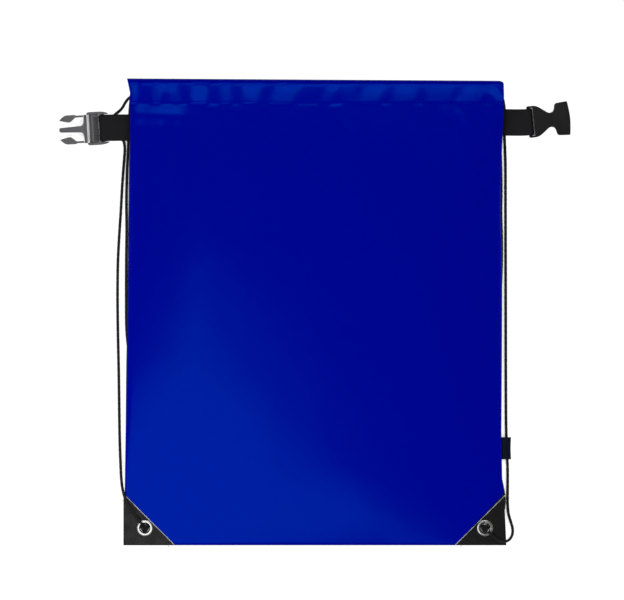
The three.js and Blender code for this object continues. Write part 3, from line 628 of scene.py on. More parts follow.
def run_attribute(tree):
    """The place along and round a swept piece, in millimetres"""
    run = add_node(tree, "ShaderNodeAttribute", {"attribute_name": "run"})
    return add_node(tree, "ShaderNodeSeparateXYZ", {}, {0: run.outputs["Vector"]}).outputs


def wave_of(tree, value, pitch):
    """A smooth wave from 0 to 1 with the given pitch"""
    per_pitch = {"operation": "MULTIPLY", 1: 2 * math.pi / pitch}
    turn = add_node(tree, "ShaderNodeMath", per_pitch, {0: value})
    wave = add_node(tree, "ShaderNodeMath", {"operation": "COSINE"}, {0: turn})
    halved = {"operation": "MULTIPLY_ADD", 1: 0.5, 2: 0.5}
    return add_node(tree, "ShaderNodeMath", halved, {0: wave})


def braid(cords):
    """Polyester cord, braided from dyed yarns: matt black, with a painted highlight a shade
    lighter on the crowns
    """
    material, tree, shader = new_material(
        "braided_polyester_cord", cords.colour, 0.7, Specular_IOR_Level=0.3
    )
    # Filaments drawn at 0.5 mm along the cord
    threads = wave_of(tree, run_attribute(tree)["X"], 0.5)
    # Painted highlight on the filaments' crowns and painted shade between them: 0.6 to 1.5 times
    # the colour
    between_shades(tree, shader, cords.colour, 0.6, 1.5, threads)
    bump = add_node(
        tree, "ShaderNodeBump", {"Strength": 0.3, "Distance": 0.08 * MM}, {"Height": threads}
    )
    feed(shader, {"Normal": bump})
    return material


def webbing(strap):
    """Polypropylene webbing, flat woven: ribs run across, with a bound selvedge at both edges"""
    material, tree, shader = new_material(
        "woven_polypropylene_webbing", strap.colour, 0.72, Specular_IOR_Level=0.2
    )
    run = run_attribute(tree)
    # Ribs of 1 mm across the strap and cords of 1.5 mm along it
    ribs, cords = wave_of(tree, run["X"], 1.0), wave_of(tree, run["Y"], 1.5)
    relief = add_node(tree, "ShaderNodeMath", {"operation": "MULTIPLY"}, {0: ribs, 1: cords})
    # Painted shade between the ribs and cords, and painted highlight on their tops: 0.75 to 1.3
    # times the colour
    between_shades(tree, shader, strap.colour, 0.75, 1.3, relief)
    bump = add_node(
        tree, "ShaderNodeBump", {"Strength": 0.35, "Distance": 0.15 * MM}, {"Height": relief}
    )
    feed(shader, {"Normal": bump})
    return material


def moulded_plastic(name, colour, roughness, shine):
    """Acetal, injection moulded in a lightly sparked tool: satin, with a faint even texture, and a
    painted shade along its rounded edges and in its narrow gaps"""
    material, tree, shader = new_material(
        name, colour, roughness, IOR=1.48, Specular_IOR_Level=shine
    )
    place = add_node(tree, "ShaderNodeTexCoord").outputs["Object"]
    # Spark texture of 0.35 mm
    spark = uneven_shine(tree, shader, place, 0.35, 2.0, roughness - 0.06, roughness + 0.08)
    bump = add_node(
        tree, "ShaderNodeBump", {"Strength": 0.12, "Distance": 0.03 * MM}, {"Height": spark}
    )
    feed(shader, {"Normal": bump})
    # Painted shade on edges within 0.7 mm, found from how far the surface turns there
    turned = add_node(tree, "ShaderNodeBevel", {"samples": 6, "Radius": 0.7 * MM})
    surface = add_node(tree, "ShaderNodeNewGeometry")
    alike = add_node(
        tree,
        "ShaderNodeVectorMath",
        {"operation": "DOT_PRODUCT"},
        {0: turned, 1: surface.outputs["Normal"]},
    ).outputs["Value"]
    edges = add_node(
        tree, "ShaderNodeMapRange", {"From Min": 0.995, "From Max": 0.9}, {"Value": alike}
    )
    # Painted shade in gaps narrower than 1 mm, such as those between the ladder bar's teeth
    shade = add_node(tree, "ShaderNodeAmbientOcclusion", {"samples": 8, "Distance": 1.0 * MM})
    gaps = add_node(
        tree,
        "ShaderNodeMapRange",
        {"From Min": 0.85, "From Max": 0.5},
        {"Value": shade.outputs["AO"]},
    )
    # The colour falls to 0.12 of itself in the painted shade of edges and gaps
    painted_shade = add_node(tree, "ShaderNodeMath", {"operation": "MAXIMUM"}, {0: edges, 1: gaps})
    between_shades(tree, shader, colour, 1, 0.12, painted_shade)
    return material


def nickel_plate(buckle):
    """Steel, pressed and nickel plated: bright, with fine handling marks in its shine"""
    material, tree, shader = new_material("nickel_plated_steel", buckle.eyelet, 0.24, 1.0)
    place = add_node(tree, "ShaderNodeTexCoord").outputs["Object"]
    # Marks of 0.9 mm
    uneven_shine(tree, shader, place, 0.9, 5.0, 0.16, 0.36)
    return material


def ribbed(tree, shader, way, pitch, strength, depth):
    """Embosses the surface with bands of a pitch and a depth in millimetres"""
    place = add_node(tree, "ShaderNodeTexCoord").outputs["Object"]
    bands = add_node(
        tree,
        "ShaderNodeTexWave",
        {"bands_direction": way, "Scale": wave_scale(pitch)},
        {"Vector": place},
    )
    bump = add_node(
        tree,
        "ShaderNodeBump",
        {"Strength": strength, "Distance": depth * MM},
        {"Height": bands.outputs["Fac"]},
    )
    feed(shader, {"Normal": bump})


def thread(name, colour, shine=(1, 1, 1)):
    """Polyester sewing thread, twisted at 0.25 mm: short soft ends of a shade close to the
    cloth"""
    material, tree, shader = new_material(
        name, colour, 0.75, Specular_IOR_Level=0.15, Specular_Tint=(*shine, 1)
    )
    ribbed(tree, shader, "DIAGONAL", 0.25, 0.3, 0.04)
    return material


def satin_tape(cloth):
    """Polyester satin tape, woven: near black with a soft sheen, and ribs of 0.7 mm along it"""
    material, tree, shader = new_material(
        "woven_satin_tape", cloth.label, 0.6, Specular_IOR_Level=0.12
    )
    ribbed(tree, shader, "Y", 0.7, 0.3, 0.08)
    return material


# ---- Cloth ----


# Soft ridges of the front panel: both ends, half width and height, in millimetres
RIDGES = (
    (-163, 177.6, -126, 176.8, 6.4, 1.1),
    (16.5, 184, 31, 160, 3.4, 0.42),
    (118, 181, 120, 175, 2.6, 0.4),
    (129, 178, 133, 168, 2.8, 0.42),
    (146, 186, 158, 172, 3.4, 0.36),
    (-95, 186, -60, 183, 3.0, 0.2),
)


def ridge(x, y, row):
    """Height of one ridge at a place, with soft ends"""
    ax, ay, bx, by, half, tall = row
    run = math.hypot(bx - ax, by - ay)
    along = ((x - ax) * (bx - ax) + (y - ay) * (by - ay)) / run
    aside = ((x - ax) * (by - ay) - (y - ay) * (bx - ax)) / run
    past = max(-along, along - run, 0)
    return tall * math.exp(-((aside / half) ** 2) - (past / half / 1.6) ** 2)


def front_relief(lines, x, y):
    """The front panel's slackness over its crowned shape, in millimetres"""
    # Waves of 95 by 130 mm, and slanting ones of 60 by 190 mm, that fade out at the edges
    broad = noise.noise(Vector((x / 95, y / 130, 3.7))) * 0.6
    drift = noise.noise(Vector(((x + y) / 60, (x - y) / 190, 8.1))) * 0.25
    fade, seam_fade = 45, 40
    from_side, depth = lines.half_w - abs(x), lines.seam_y - y
    inset = step(from_side, 0, fade) * step(y + lines.half_h, 0, fade)
    inset *= step(depth, 0, seam_fade)
    # Puckers that die away below the seam
    puckers, reach, decay = 0.0, 60, 12
    if depth < reach:
        puckers = 0.12 * gather(x, y) * math.exp(-depth / decay)
        puckers += sum(ridge(x, y, row) for row in RIDGES) * step(depth, 0, 3)
        puckers *= step(from_side, 2, 10)
    return (broad + drift) * inset + puckers


def gather(x, y):
    """Slackness gathered along a seam: broad facets with narrow creases between them"""
    broad = noise.noise(Vector((x / 24, y / 60, 21.3)))
    crease = 1 - abs(noise.noise(Vector((x / 17 + y / 90, y / 80, 25.3)))) * 3
    return broad + 0.55 * max(crease, 0) + 0.2 * noise.noise(Vector((x / 7, y / 25, 30.3)))


# Shares of the way from the seam to the folded edge: distance from the seam, and height over
# the channel's middle, in millimetres
HEM_PROFILE = (
    (0.0, 0.0, 2.5),
    (0.025, 0.5, 2.32),
    (0.055, 1.2, 2.38),
    (0.1, 2.2, 2.45),
    (0.3, 6.8, 2.5),
    (0.5, 11.2, 2.52),
    (0.72, 16.4, 2.45),
    (0.81, 18.4, 2.28),
    (0.865, 19.6, 1.95),
    (0.92, 20.7, 1.42),
    (0.96, 21.6, 0.85),
    (0.985, 22.2, 0.4),
    (1.0, 22.4, 0.0),
)

# Slack fields of the hem between its creases: place across, half width, how far each leans
# towards the mouth, and how much its creases slant
HEM_FIELDS = (
    (-162.5, 4.0, 0.75, 0.1),
    (-142.0, 5.8, 0.7, 0.15),
    (-127.0, 6.4, 0.5, -0.1),
    (-104.0, 9.4, 1.0, 0.12),
    (-80.5, 6.0, 0.72, 0.0),
    (-57.0, 9.6, 0.82, 0.08),
    (-27.0, 13.6, 0.75, 0.3),
    (13.0, 5.6, 0.62, 0.35),
    (32.0, 7.0, 0.3, -0.2),
    (52.0, 11.4, 0.75, 0.25),
    (81.5, 12.6, 0.6, 0.12),
    (112.0, 14.5, 0.5, -0.05),
    (142.0, 14.0, 0.66, 0.35),
    (163.0, 6.5, 0.85, -0.55),
)


HEM_FIELD_EDGE = (0.62, 1.12)  # shares of a field's half width over which it ends
HEM_MIDDLE = 11  # from the seam
HEM_LEAN, HEM_GATHER = 0.72, 0.16  # heights of the leaning and of the gathers
HALF_PLY = 0.25  # of the cloth


def hem_lean(x, along):
    """How far the hem leans towards the mouth at a place, from 0 to 1"""
    lean = 0.0
    for centre, half, most, slant in HEM_FIELDS:
        off = abs(x - centre - slant * (along - HEM_MIDDLE)) / half
        lean = max(lean, most * (1 - step(off, *HEM_FIELD_EDGE)))
    return lean


def hem_lever(along):
    """The leaning plane: 1 near the seam, -1 before the folded edge, 0 at both ends"""
    near, far, end = 2.2, 17.0, HEM_PROFILE[-1][1]
    if along < near:
        return along / near
    if along < far:
        return 1 - 2 * (along - near) / (far - near)
    return -max(end - along, 0) / (end - far)


def hem_point(lines, u, share, sign):
    """A point of the channel's outer ply: share 0 at the seam and 1 at the folded edge"""
    along = between(HEM_PROFILE, share, 1)
    above = between(HEM_PROFILE, share, 2)
    y = lines.seam_y - HALF_PLY + along
    x = lines.across(u, y)
    centre = lines.channel_z(lines.across(u, lines.channel_y), sign)
    if sign > 0:
        above += HEM_LEAN * hem_lean(x, along) * hem_lever(along)
        slack = math.sin(math.pi * min(max(share, 0), 1)) ** 0.7
        above += HEM_GATHER * gather(x, y) * slack
    else:
        above = min(above, 2.0)  # the back lies flat
    # The mouth's edge runs a little uphill to the left, and its right end is rounded
    slope, corner, drop = 0.0062, 4, 1.6
    rounding = max(0, x - (lines.half_w - corner)) / corner
    y -= (slope * x + drop * rounding**2) * share
    return Vector((x, y, centre + sign * above))


def panel_mesh(lines, sign):
    """The front panel, or the back one for a sign of -1: the body from the bottom edge to the
    seam, then the channel round the cords and back to the seam"""
    columns, body_rows, hem_rows, tuck_rows = 150, 150, 26, 8
    tuck_share, tuck_turn, ply_room = 0.94, 1.6, 1.9
    crowding, row_crowding = 0.35, 0.06
    total = body_rows + hem_rows + tuck_rows
    bm = bmesh.new()
    bmesh.ops.create_grid(bm, x_segments=columns, y_segments=total, size=1)
    for vert in bm.verts:
        # Columns and rows lie closer together near the edges
        u = math.sin(vert.co.x * math.pi / 2) * crowding + vert.co.x * (1 - crowding)
        j = round((vert.co.y + 1) / 2 * total)
        if j <= body_rows:
            share = j / body_rows
            share += row_crowding * math.sin(2 * math.pi * share) / (2 * math.pi)
            y = -lines.half_h + (lines.seam_y + lines.half_h) * share
            x = lines.across(u, y)
            if sign > 0:
                z = lines.front_top(u, y) + front_relief(lines, x, y)
            else:
                seam = lines.front_top(u, y) - 2 * lines.wall - lines.gap
                z = lines.back_under(u, y)
                z += max(seam - z, 0) * lines.side_seam(u)
            point = Vector((x, y, z))
        elif j <= body_rows + hem_rows:
            point = hem_point(lines, u, (j - body_rows) / hem_rows, sign)
        else:
            share = (j - body_rows - hem_rows) / tuck_rows
            point = hem_point(lines, u, 1 - share * tuck_share, sign)
            centre = lines.channel_z(lines.across(u, lines.channel_y), sign)
            turned = math.sin(math.pi * min(share * tuck_turn, 1) / 2)
            point.z = centre - sign * ply_room * turned
        vert.co = point * MM
    for side in (-1, 1):
        cut_eyelet_hole(bm, lines, side)
    bmesh.ops.recalc_face_normals(bm, faces=bm.faces)
    sample = min(bm.faces, key=lambda f: f.calc_center_median().length)
    if sample.normal.z * sign < 0:
        bmesh.ops.reverse_faces(bm, faces=bm.faces)
    return bm


def cut_eyelet_hole(bm, lines, side):
    """Cuts the hole for an eyelet's barrel: the faces inside go, and their edge is drawn round"""
    radius = 4.75 * MM
    centre = (eyelet_at(lines, side) * MM).to_2d()
    inside = [
        face for face in bm.faces if (face.calc_center_median().to_2d() - centre).length < radius
    ]
    rim = {
        vert
        for face in inside
        for vert in face.verts
        if any(other not in inside for other in vert.link_faces)
    }
    for vert in rim:
        away = vert.co.to_2d() - centre
        vert.co.x, vert.co.y = centre + away.normalized() * radius
    bmesh.ops.delete(bm, geom=inside, context="FACES")


THREAD = 0.45 * MM  # its thickness as drawn


def stitch_row(bm, points, normals, length, thickness):
    """Adds a short rounded stitch along each span of the points"""
    for a, b, normal in zip(points, points[1:], normals):
        along = (b - a).normalized()
        side = normal.cross(along).normalized()
        turn = Matrix((along, side, normal)).transposed().to_4x4()
        size = Matrix.Diagonal((length / 2, thickness / 2, thickness / 2, 1))
        spot = Matrix.Translation((a + b) / 2)
        bmesh.ops.create_uvsphere(
            bm, u_segments=6, v_segments=4, radius=1, matrix=spot @ turn @ size
        )


def hem_stitches(lines, sign):
    """The row of stitches along a channel's seam"""
    bm = bmesh.new()
    count, half_row, above = 112, 0.985, 0.12
    points = []
    for i in range(count + 1):
        low = hem_point(lines, half_row * (2 * i / count - 1), 0.03, sign)
        points.append((low + Vector((0, 0, sign * above))) * MM)
    stitch_row(bm, points, [Vector((0, 0, sign))] * count, 2.3 * MM, THREAD)
    return bm


# ---- Corner patches ----


PATCH_LEG = 46.0  # of the triangle, along the bottom and along the side
PATCH_REACH = 1.0  # past the bag's side edge
PATCH_ROOM = 1.0  # over the panels


def patch_mesh(lines, side):
    """A triangle of coated cloth folded round the bag's side edge, front leaf, fold and back"""
    turn_share, fold_bulge, dimple = 0.12, 0.35, 0.12
    bm = bmesh.new()
    across, rows = 56, 40
    bmesh.ops.create_grid(bm, x_segments=across, y_segments=rows, size=1)
    for vert in bm.verts:
        s = vert.co.x
        down = (1 - vert.co.y) / 2
        y = -lines.half_h + PATCH_LEG * (1 - down)
        width = PATCH_LEG * down
        run = max(abs(s) - turn_share, 0) / (1 - turn_share) * width
        x_edge = lines.half_width(y, side) + PATCH_REACH * min(1, width / 2)
        x = side * (x_edge - run)
        u = max(-1, min(1, x / lines.half_width(y, side)))
        top = lines.front_top(u, y) + PATCH_ROOM
        low = lines.back_under(u, y) - PATCH_ROOM
        if abs(s) < turn_share:
            turn = math.pi / 2 * s / turn_share
            middle, tall = (top + low) / 2, (top - low) / 2
            z = middle + tall * math.sin(turn)
            x = side * (x_edge + fold_bulge * math.cos(turn))
        else:
            z = top if s > 0 else low
            z += dimple * noise.noise(Vector((x / 7, y / 7, 2.0 + s))) * min(1, run / 4)
        vert.co = Vector((x, y, z)) * MM
    bmesh.ops.dissolve_degenerate(bm, dist=0.02 * MM, edges=bm.edges)
    cut_eyelet_hole(bm, lines, side)
    bmesh.ops.recalc_face_normals(bm, faces=bm.faces)
    sample = max(bm.faces, key=lambda f: f.calc_center_median().z)
    if sample.normal.z < 0:
        bmesh.ops.reverse_faces(bm, faces=bm.faces)
    return bm


def patch_lines(lines, side, inset, above, shares=(0.03, 0.97)):
    """Points along the patch's sloping edge on its front, a distance inside it"""
    edge = lines.half_width(-lines.half_h, side) + PATCH_REACH
    points, count = [], 24
    aside = inset * math.sqrt(0.5)  # the edge slopes at 45 degrees
    for i in range(count + 1):
        share = shares[0] + (shares[1] - shares[0]) * i / count
        x = side * (edge - PATCH_LEG * share + aside)
        y = -lines.half_h + PATCH_LEG * (1 - share) - aside
        u = max(-1, min(1, x / lines.half_width(y, side)))
        points.append(Vector((x, y, lines.front_top(u, y) + PATCH_ROOM + above)) * MM)
    return points


# Profiles of a rolled eyelet, barrel and rounded flange, and of its washer: distance from the
# axis, and height over the floor, in millimetres
EYELET_PROFILE = (
    (4.6, 2.9), (4.6, 7.9), (7.2, 7.9), (7.4, 8.05), (7.35, 8.35), (6.9, 8.65),
    (6.1, 8.82), (5.2, 8.8), (4.5, 8.6), (4.1, 8.2), (4.0, 7.7), (4.0, 2.9),
)
WASHER_PROFILE = ((4.9, 2.95), (6.6, 2.9), (7.2, 3.1), (7.4, 3.4), (7.3, 3.6), (4.9, 3.6))


def spun(profile, centre):
    """A ring spun round its upright axis"""
    bm = bmesh.new()
    verts = [bm.verts.new(Vector((r, 0, z)) * MM) for r, z in profile]
    edges = [bm.edges.new((a, b)) for a, b in zip(verts, verts[1:] + verts[:1])]
    around = {"cent": (0, 0, 0), "axis": (0, 0, 1), "angle": 2 * math.pi}
    bmesh.ops.spin(bm, geom=verts + edges, **around, steps=48, use_merge=True)
    bmesh.ops.remove_doubles(bm, verts=bm.verts, dist=1e-6)
    bmesh.ops.translate(bm, verts=bm.verts, vec=centre * MM)
    bmesh.ops.recalc_face_normals(bm, faces=bm.faces)
    return bm


# ---- Strap ----

STRAP_Y, STRAP_TILT = 169, math.radians(0.8)


def strap_sections(lines, place, side):
    """Stations of the webbing from the end of its tail round the bar to the bag's edge: the
    middle point and the direction across, in millimetres"""
    x, y, turn = place
    outward = Vector((math.cos(turn), math.sin(turn), 0))
    edge_x = side * lines.half_width(STRAP_Y, side)
    edge = Vector((edge_x, STRAP_Y + edge_x * math.tan(STRAP_TILT), 0))
    bar = Vector((x, y, 0))
    run = (bar - edge).length
    line = Vector((math.cos(STRAP_TILT), math.sin(STRAP_TILT), 0))
    control = [bar, bar - outward * run / 3, edge + line * side * run / 3, edge]

    def station(back, z):
        t = max(back, 0) / run
        a, b, c, d = control
        point = (1 - t) ** 3 * a + 3 * t * (1 - t) ** 2 * b + 3 * t * t * (1 - t) * c + t**3 * d
        slope = (1 - t) ** 2 * (b - a) + 2 * t * (1 - t) * (c - b) + t * t * (d - c)
        if back < 0:
            point = point - outward * back
        along = slope.normalized() * -side
        return Vector((point.x, point.y, z)), Vector((-along.y, along.x, 0))

    # How far back the tail's end and the loop's waist are, and the heights and the loop's radius
    tail, pinch = 12.0, 5.0
    thick, height, round_loop, edge_height = 1.4, 4.3, 2.6, 3.7

    def upper(back):
        return height + round_loop + (edge_height - height - round_loop) * back / run

    stations = [station(back, upper(back) - thick - 0.3) for back in (tail, pinch)]
    for i in range(11):
        angle = -2 * math.pi / 3 + (math.pi / 2 + 2 * math.pi / 3) * i / 10
        stations.append(
            station(-round_loop * math.cos(angle), height + round_loop * math.sin(angle))
        )
    for back in (pinch, tail, (tail + run) / 2):
        stations.append(station(back, upper(back)))
    return stations


def strap_mesh(lines, strap, places):
    """The webbing in one length: left loop, across behind the bag, right loop"""
    across = Vector((-math.sin(STRAP_TILT), math.cos(STRAP_TILT), 0))
    stations = strap_sections(lines, places[0], -1)
    spans, rise = 40, strap.thickness / MM / 2
    for i in range(spans + 1):
        u = -1 + 2 * i / spans
        x = lines.across(u, STRAP_Y)
        point = Vector((x, STRAP_Y + x * math.tan(STRAP_TILT), lines.lift(u) + rise))
        stations.append((point, across))
    stations += reversed(strap_sections(lines, places[1], 1))
    middle = [s[0] * MM for s in stations]
    sides = [s[1] for s in stations]
    path, over, spacing = [], [], 0.9 * MM
    for i, (a, b) in enumerate(zip(middle, middle[1:])):
        pieces = max(1, round((b - a).length / spacing))
        before = middle[max(i - 1, 0)]
        after = middle[min(i + 2, len(middle) - 1)]
        for k in range(pieces):
            t = k / pieces
            path.append(hermite(before, a, b, after, t))
            over.append(sides[i].lerp(sides[i + 1], t).normalized())
    path.append(middle[-1])
    over.append(sides[-1])
    half, thick = strap.width / 2, strap.thickness / 2
    # The section: a flat with blunt sides and slightly fuller selvedges
    section, count, fuller = [], 20, 0.14
    for k in range(count):
        angle = 2 * math.pi * k / count
        c, s = math.cos(angle), math.sin(angle)
        w = math.copysign(abs(c) ** 0.28, c)
        h = math.copysign(abs(s) ** 0.5, s)
        section.append((w * half, h * thick * (1 - fuller + fuller * abs(w) ** 6)))
    rings, notes = [], []
    for point, side, tangent, along in zip(path, over, path_tangents(path), run_sums(path)):
        up = side.cross(tangent).normalized()
        rings.append([point + side * w + up * h for w, h in section])
        notes.append([(along / MM, w / MM, h / MM) for w, h in section])
    return sweep(rings, notes)


def hermite(before, a, b, after, t):
    """A point between a and b on a smooth curve that passes through all four"""
    m0 = (b - before) * 0.5 * min(1, (b - a).length / max((a - before).length, 1e-6))
    m1 = (after - a) * 0.5 * min(1, (b - a).length / max((after - b).length, 1e-6))
    t2, t3 = t * t, t * t * t
    at_a, at_b = 2 * t3 - 3 * t2 + 1, 3 * t2 - 2 * t3
    return at_a * a + (t3 - 2 * t2 + t) * m0 + at_b * b + (t3 - t2) * m1


# ---- Buckle ----


def moulded_copy(node, name, material, body, edge):
    """A node's solid with its moulded edges rounded"""
    bm = bmesh.new()
    bm.from_mesh(frame["nodes"][node].data)
    bmesh.ops.remove_doubles(bm, verts=bm.verts, dist=0.002 * MM)
    flat = math.radians(0.6)
    bmesh.ops.dissolve_limit(bm, angle_limit=flat, verts=bm.verts, edges=bm.edges)
    piece = finish_piece(name, bm, material, body=body)
    round_edges(piece, edge).angle_limit = math.radians(32)
    piece.data.set_sharp_from_angle(angle=math.radians(40))
    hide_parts(node)


def buckle_place(name):
    """Where a swing joint puts its webbing bar: X and Y in millimetres, and its heading"""
    joint = next(j for j in frame["joints"] if j["name"] == name)
    x, y, _ = joint["pos_m"]
    ax, ay, _ = joint["axis"]
    heading = math.atan2(-ax, ay)
    if x < 0:
        heading += math.pi
    return x / MM, y / MM, heading


# ---- Operators ----


def paper_floor(settings):
    """Matt white paper. It is white to the eye, with a painted shadow deep in the slots of what
    lies on it
    """
    material, tree, shader = new_material(
        "matt_paper_floor", settings.floor, 0.9, Specular_IOR_Level=0.1
    )
    lamp = add_node(tree, "ShaderNodeEmission", {"Color": (1, 1, 1, 1), "Strength": 1.05})
    ray = add_node(tree, "ShaderNodeLightPath").outputs
    # Painted shadow: where little of the room is open within 12 mm, the paper turns #303030
    slots = add_node(tree, "ShaderNodeAmbientOcclusion", {"samples": 8, "Distance": 12 * MM})
    outside_painted_shadow = add_node(
        tree,
        "ShaderNodeMapRange",
        {"From Min": 0.18, "From Max": 0.27},
        {"Value": slots.outputs["AO"]},
    )
    shades = {6: (*linear("#303030"), 1), 7: (*settings.floor, 1)}
    shade = add_node(tree, "ShaderNodeMix", {"data_type": "RGBA", **shades}, {0: outside_painted_shadow})
    feed(shader, {"Base Color": shade.outputs[2]})
    seen = add_node(
        tree,
        "ShaderNodeMath",
        {"operation": "MAXIMUM"},
        {0: ray["Is Camera Ray"], 1: ray["Is Glossy Ray"]},
    )
    # The camera sees the white paper only outside the painted shadow
    sees = add_node(tree, "ShaderNodeMath", {"operation": "MULTIPLY"}, {0: seen, 1: outside_painted_shadow})
    mix = add_node(tree, "ShaderNodeMixShader", {}, {0: sees, 1: shader, 2: lamp})
    feed(tree.nodes["Material Output"], {"Surface": mix})
    return material


def white_room(settings):
    """Soft light from all round, and white where the eye looks past the floor"""
    world = bpy.data.worlds.new("white_room")
    world.use_nodes = True
    tree = world.node_tree
    room = tree.nodes["Background"]
    room.inputs["Color"].default_value = (1, 1, 1, 1)
    ray = add_node(tree, "ShaderNodeLightPath")
    level = add_node(
        tree,
        "ShaderNodeMapRange",
        {"To Min": settings.sky, "To Max": 1.0},
        {"Value": ray.outputs["Is Camera Ray"]},
    )
    feed(room, {"Strength": level})
    return world


# Soft lamps: name, place, aim, width, depth, setting, share of it, and whether the lamp stands in
# the shine of what it lights. Low views keep the cloth's own blue, as the side lights don't
LAMPS = (
    ("key", (-0.15, -0.23, 0.5), (-0.15, -0.23, 0), 0.41, 0.36, "key", 1, True),
    ("top_strip", (0, 0.34, 0.7), (0, 0.2, 0), 0.56, 0.1, "key", 0.9, True),
    ("left_fill", (-1.4, 0.2, 1.3), (0, 0, 0), 1.2, 1.2, "fill", 2.6, False),
    ("right_fill", (1.45, 0.1, 1.3), (0, 0, 0), 1.2, 1.2, "fill", 2.1, False),
    ("low_fill", (0, -1.2, 1.5), (0, 0.1, 0), 1.2, 0.9, "fill", 1.8, False),
)
KEY_TURN = math.radians(-57)
FLOOR_HALF, FLOOR_DROP = 4, 0.4 * MM  # the floor lies just under the resting cloth
EYE = (-0.00262, 0.0112, 1.6)


class BACKPACK_OT_stage(bpy.types.Operator):
    """Make the floor, the lights and the camera"""

    bl_idname = "backpack.stage"
    bl_label = "Stage and camera"

    def execute(self, context):
        settings = context.scene.backpack_stage
        link = context.scene.collection.objects.link
        bm = bmesh.new()
        bmesh.ops.create_grid(bm, x_segments=1, y_segments=1, size=FLOOR_HALF)
        bmesh.ops.translate(bm, verts=bm.verts, vec=(0, 0, -FLOOR_DROP))
        mesh = bpy.data.meshes.new("floor")
        bm.to_mesh(mesh)
        bm.free()
        mesh.materials.append(paper_floor(settings))
        floor = bpy.data.objects.new("floor", mesh)
        link(floor)
        for name, place, target, width, depth, setting, share, shines in LAMPS:
            light = bpy.data.lights.new(name, "AREA")
            light.shape = "RECTANGLE"
            light.size, light.size_y = width, depth
            light.energy = getattr(settings, setting) * share
            lamp = bpy.data.objects.new(name, light)
            lamp.location = place
            aim = Vector(target) - Vector(place)
            lamp.rotation_euler = aim.to_track_quat("-Z", "Y").to_euler()
            if name == "key":
                lamp.rotation_euler.z = KEY_TURN
            lamp.visible_camera = False
            lamp.visible_glossy = shines
            link(lamp)
        context.scene.world = white_room(settings)
        context.scene.view_settings.view_transform = "Standard"
        camera = bpy.data.cameras.new("camera")
        camera.type = "ORTHO"
        camera.ortho_scale = settings.view
        eye = bpy.data.objects.new("camera", camera)
        eye.location = EYE
        link(eye)
        context.scene.camera = eye
        return {"FINISHED"}


class BACKPACK_OT_cords(bpy.types.Operator):
    """Make the free cord strands, the runs in the channels and the knots"""

    bl_idname = "backpack.cords"
    bl_label = "Drawcords"

    def execute(self, context):
        lines = BagLines(context.scene.backpack_cloth)
        cords = context.scene.backpack_cords
        diameter = cords.diameter / MM
        material = braid(cords)
        radius = cords.diameter / 2
        for name in ROUTES:
            typed = [p * MM for p in strand_path(lines, name, diameter)]
            path = smooth_path(typed, 0.5 * MM)
            piece = finish_piece(f"cord_{name}", cord_mesh(path, radius), material)
            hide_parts(f"drawcord_{name}_strand")
        for side, word in ((-1, "left"), (1, "right")):
            self.held_runs(lines, word, side, radius, material)
            self.knot(lines, word, side, radius, material)
        return {"FINISHED"}

    def held_runs(self, lines, word, side, radius, material):
        """One length in the channels: front run, turn at the far side and back run"""
        end, far = lines.mouth_half, -side
        spans, turn_spans, turn_room = 16, 8, 0.6
        runs, ends = [], []
        for sign in (1, -1):
            y = lines.channel_y + sign * side * CORD_OFFSET
            places = [sign * side * end * (1 - i / spans) for i in range(2 * spans + 1)]
            runs.append([Vector((x, y, lines.channel_z(x, sign))) for x in places])
            height = lines.channel_z(far * end, sign)
            ends.append(Vector((far * (end + turn_room), y, height)))
        centre, arm = (ends[0] + ends[1]) / 2, (ends[0] - ends[1]) / 2
        turn = []
        for i in range(turn_spans + 1):
            angle = math.pi * i / turn_spans
            out = Vector((far * arm.length * math.sin(angle), 0, 0))
            turn.append(centre + arm * math.cos(angle) + out)
        path = smooth_path([p * MM for p in (*runs[0], *turn, *runs[1])], 0.8 * MM)
        piece = finish_piece(f"cord_{word}_in_channels", cord_mesh(path, radius), material)
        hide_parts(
            f"drawcord_{word}_front_run",
            f"drawcord_{word}_turn",
            f"drawcord_{word}_back_run",
        )

    def knot(self, lines, word, side, radius, material):
        """A tight overhand knot on the eyelet's flange"""
        centre = eyelet_at(lines, side) + Vector((0, 0, KNOT_SEAT + KNOT_HEIGHT / 2 - 0.2))
        path, steps, scale, swell = [], 160, 1.02, 1.05
        for i in range(steps):
            t = 2 * math.pi * i / steps
            x = math.sin(t) + 2 * math.sin(2 * t)
            y = math.cos(t) - 2 * math.cos(2 * t)
            path.append((centre + scale * Vector((x, y, -1.25 * math.sin(3 * t)))) * MM)
        bm = cord_mesh(path, radius * swell, closed=True)
        piece = finish_piece(f"cord_knot_{word}", bm, material)
        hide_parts(f"knot_{word}")


class BACKPACK_OT_cloth(bpy.types.Operator):
    """Make the two cloth panels with their channels and hem stitches"""

    bl_idname = "backpack.cloth"
    bl_label = "Cloth panels"

    def execute(self, context):
        cloth = context.scene.backpack_cloth
        lines = BagLines(cloth)
        material = polyester(cloth)
        seam = thread("polyester_thread_blue", cloth.thread, cloth.gloss)
        for front, word in ((True, "front"), (False, "back")):
            sign = 1 if front else -1
            bm = panel_mesh(lines, sign)
            piece = finish_piece(f"{word}_cloth", bm, material)
            thicken(piece, cloth.thickness)
            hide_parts(f"{word}_panel")
            bm = hem_stitches(lines, sign)
            finish_piece(f"{word}_hem_stitches", bm, seam)
        return {"FINISHED"}


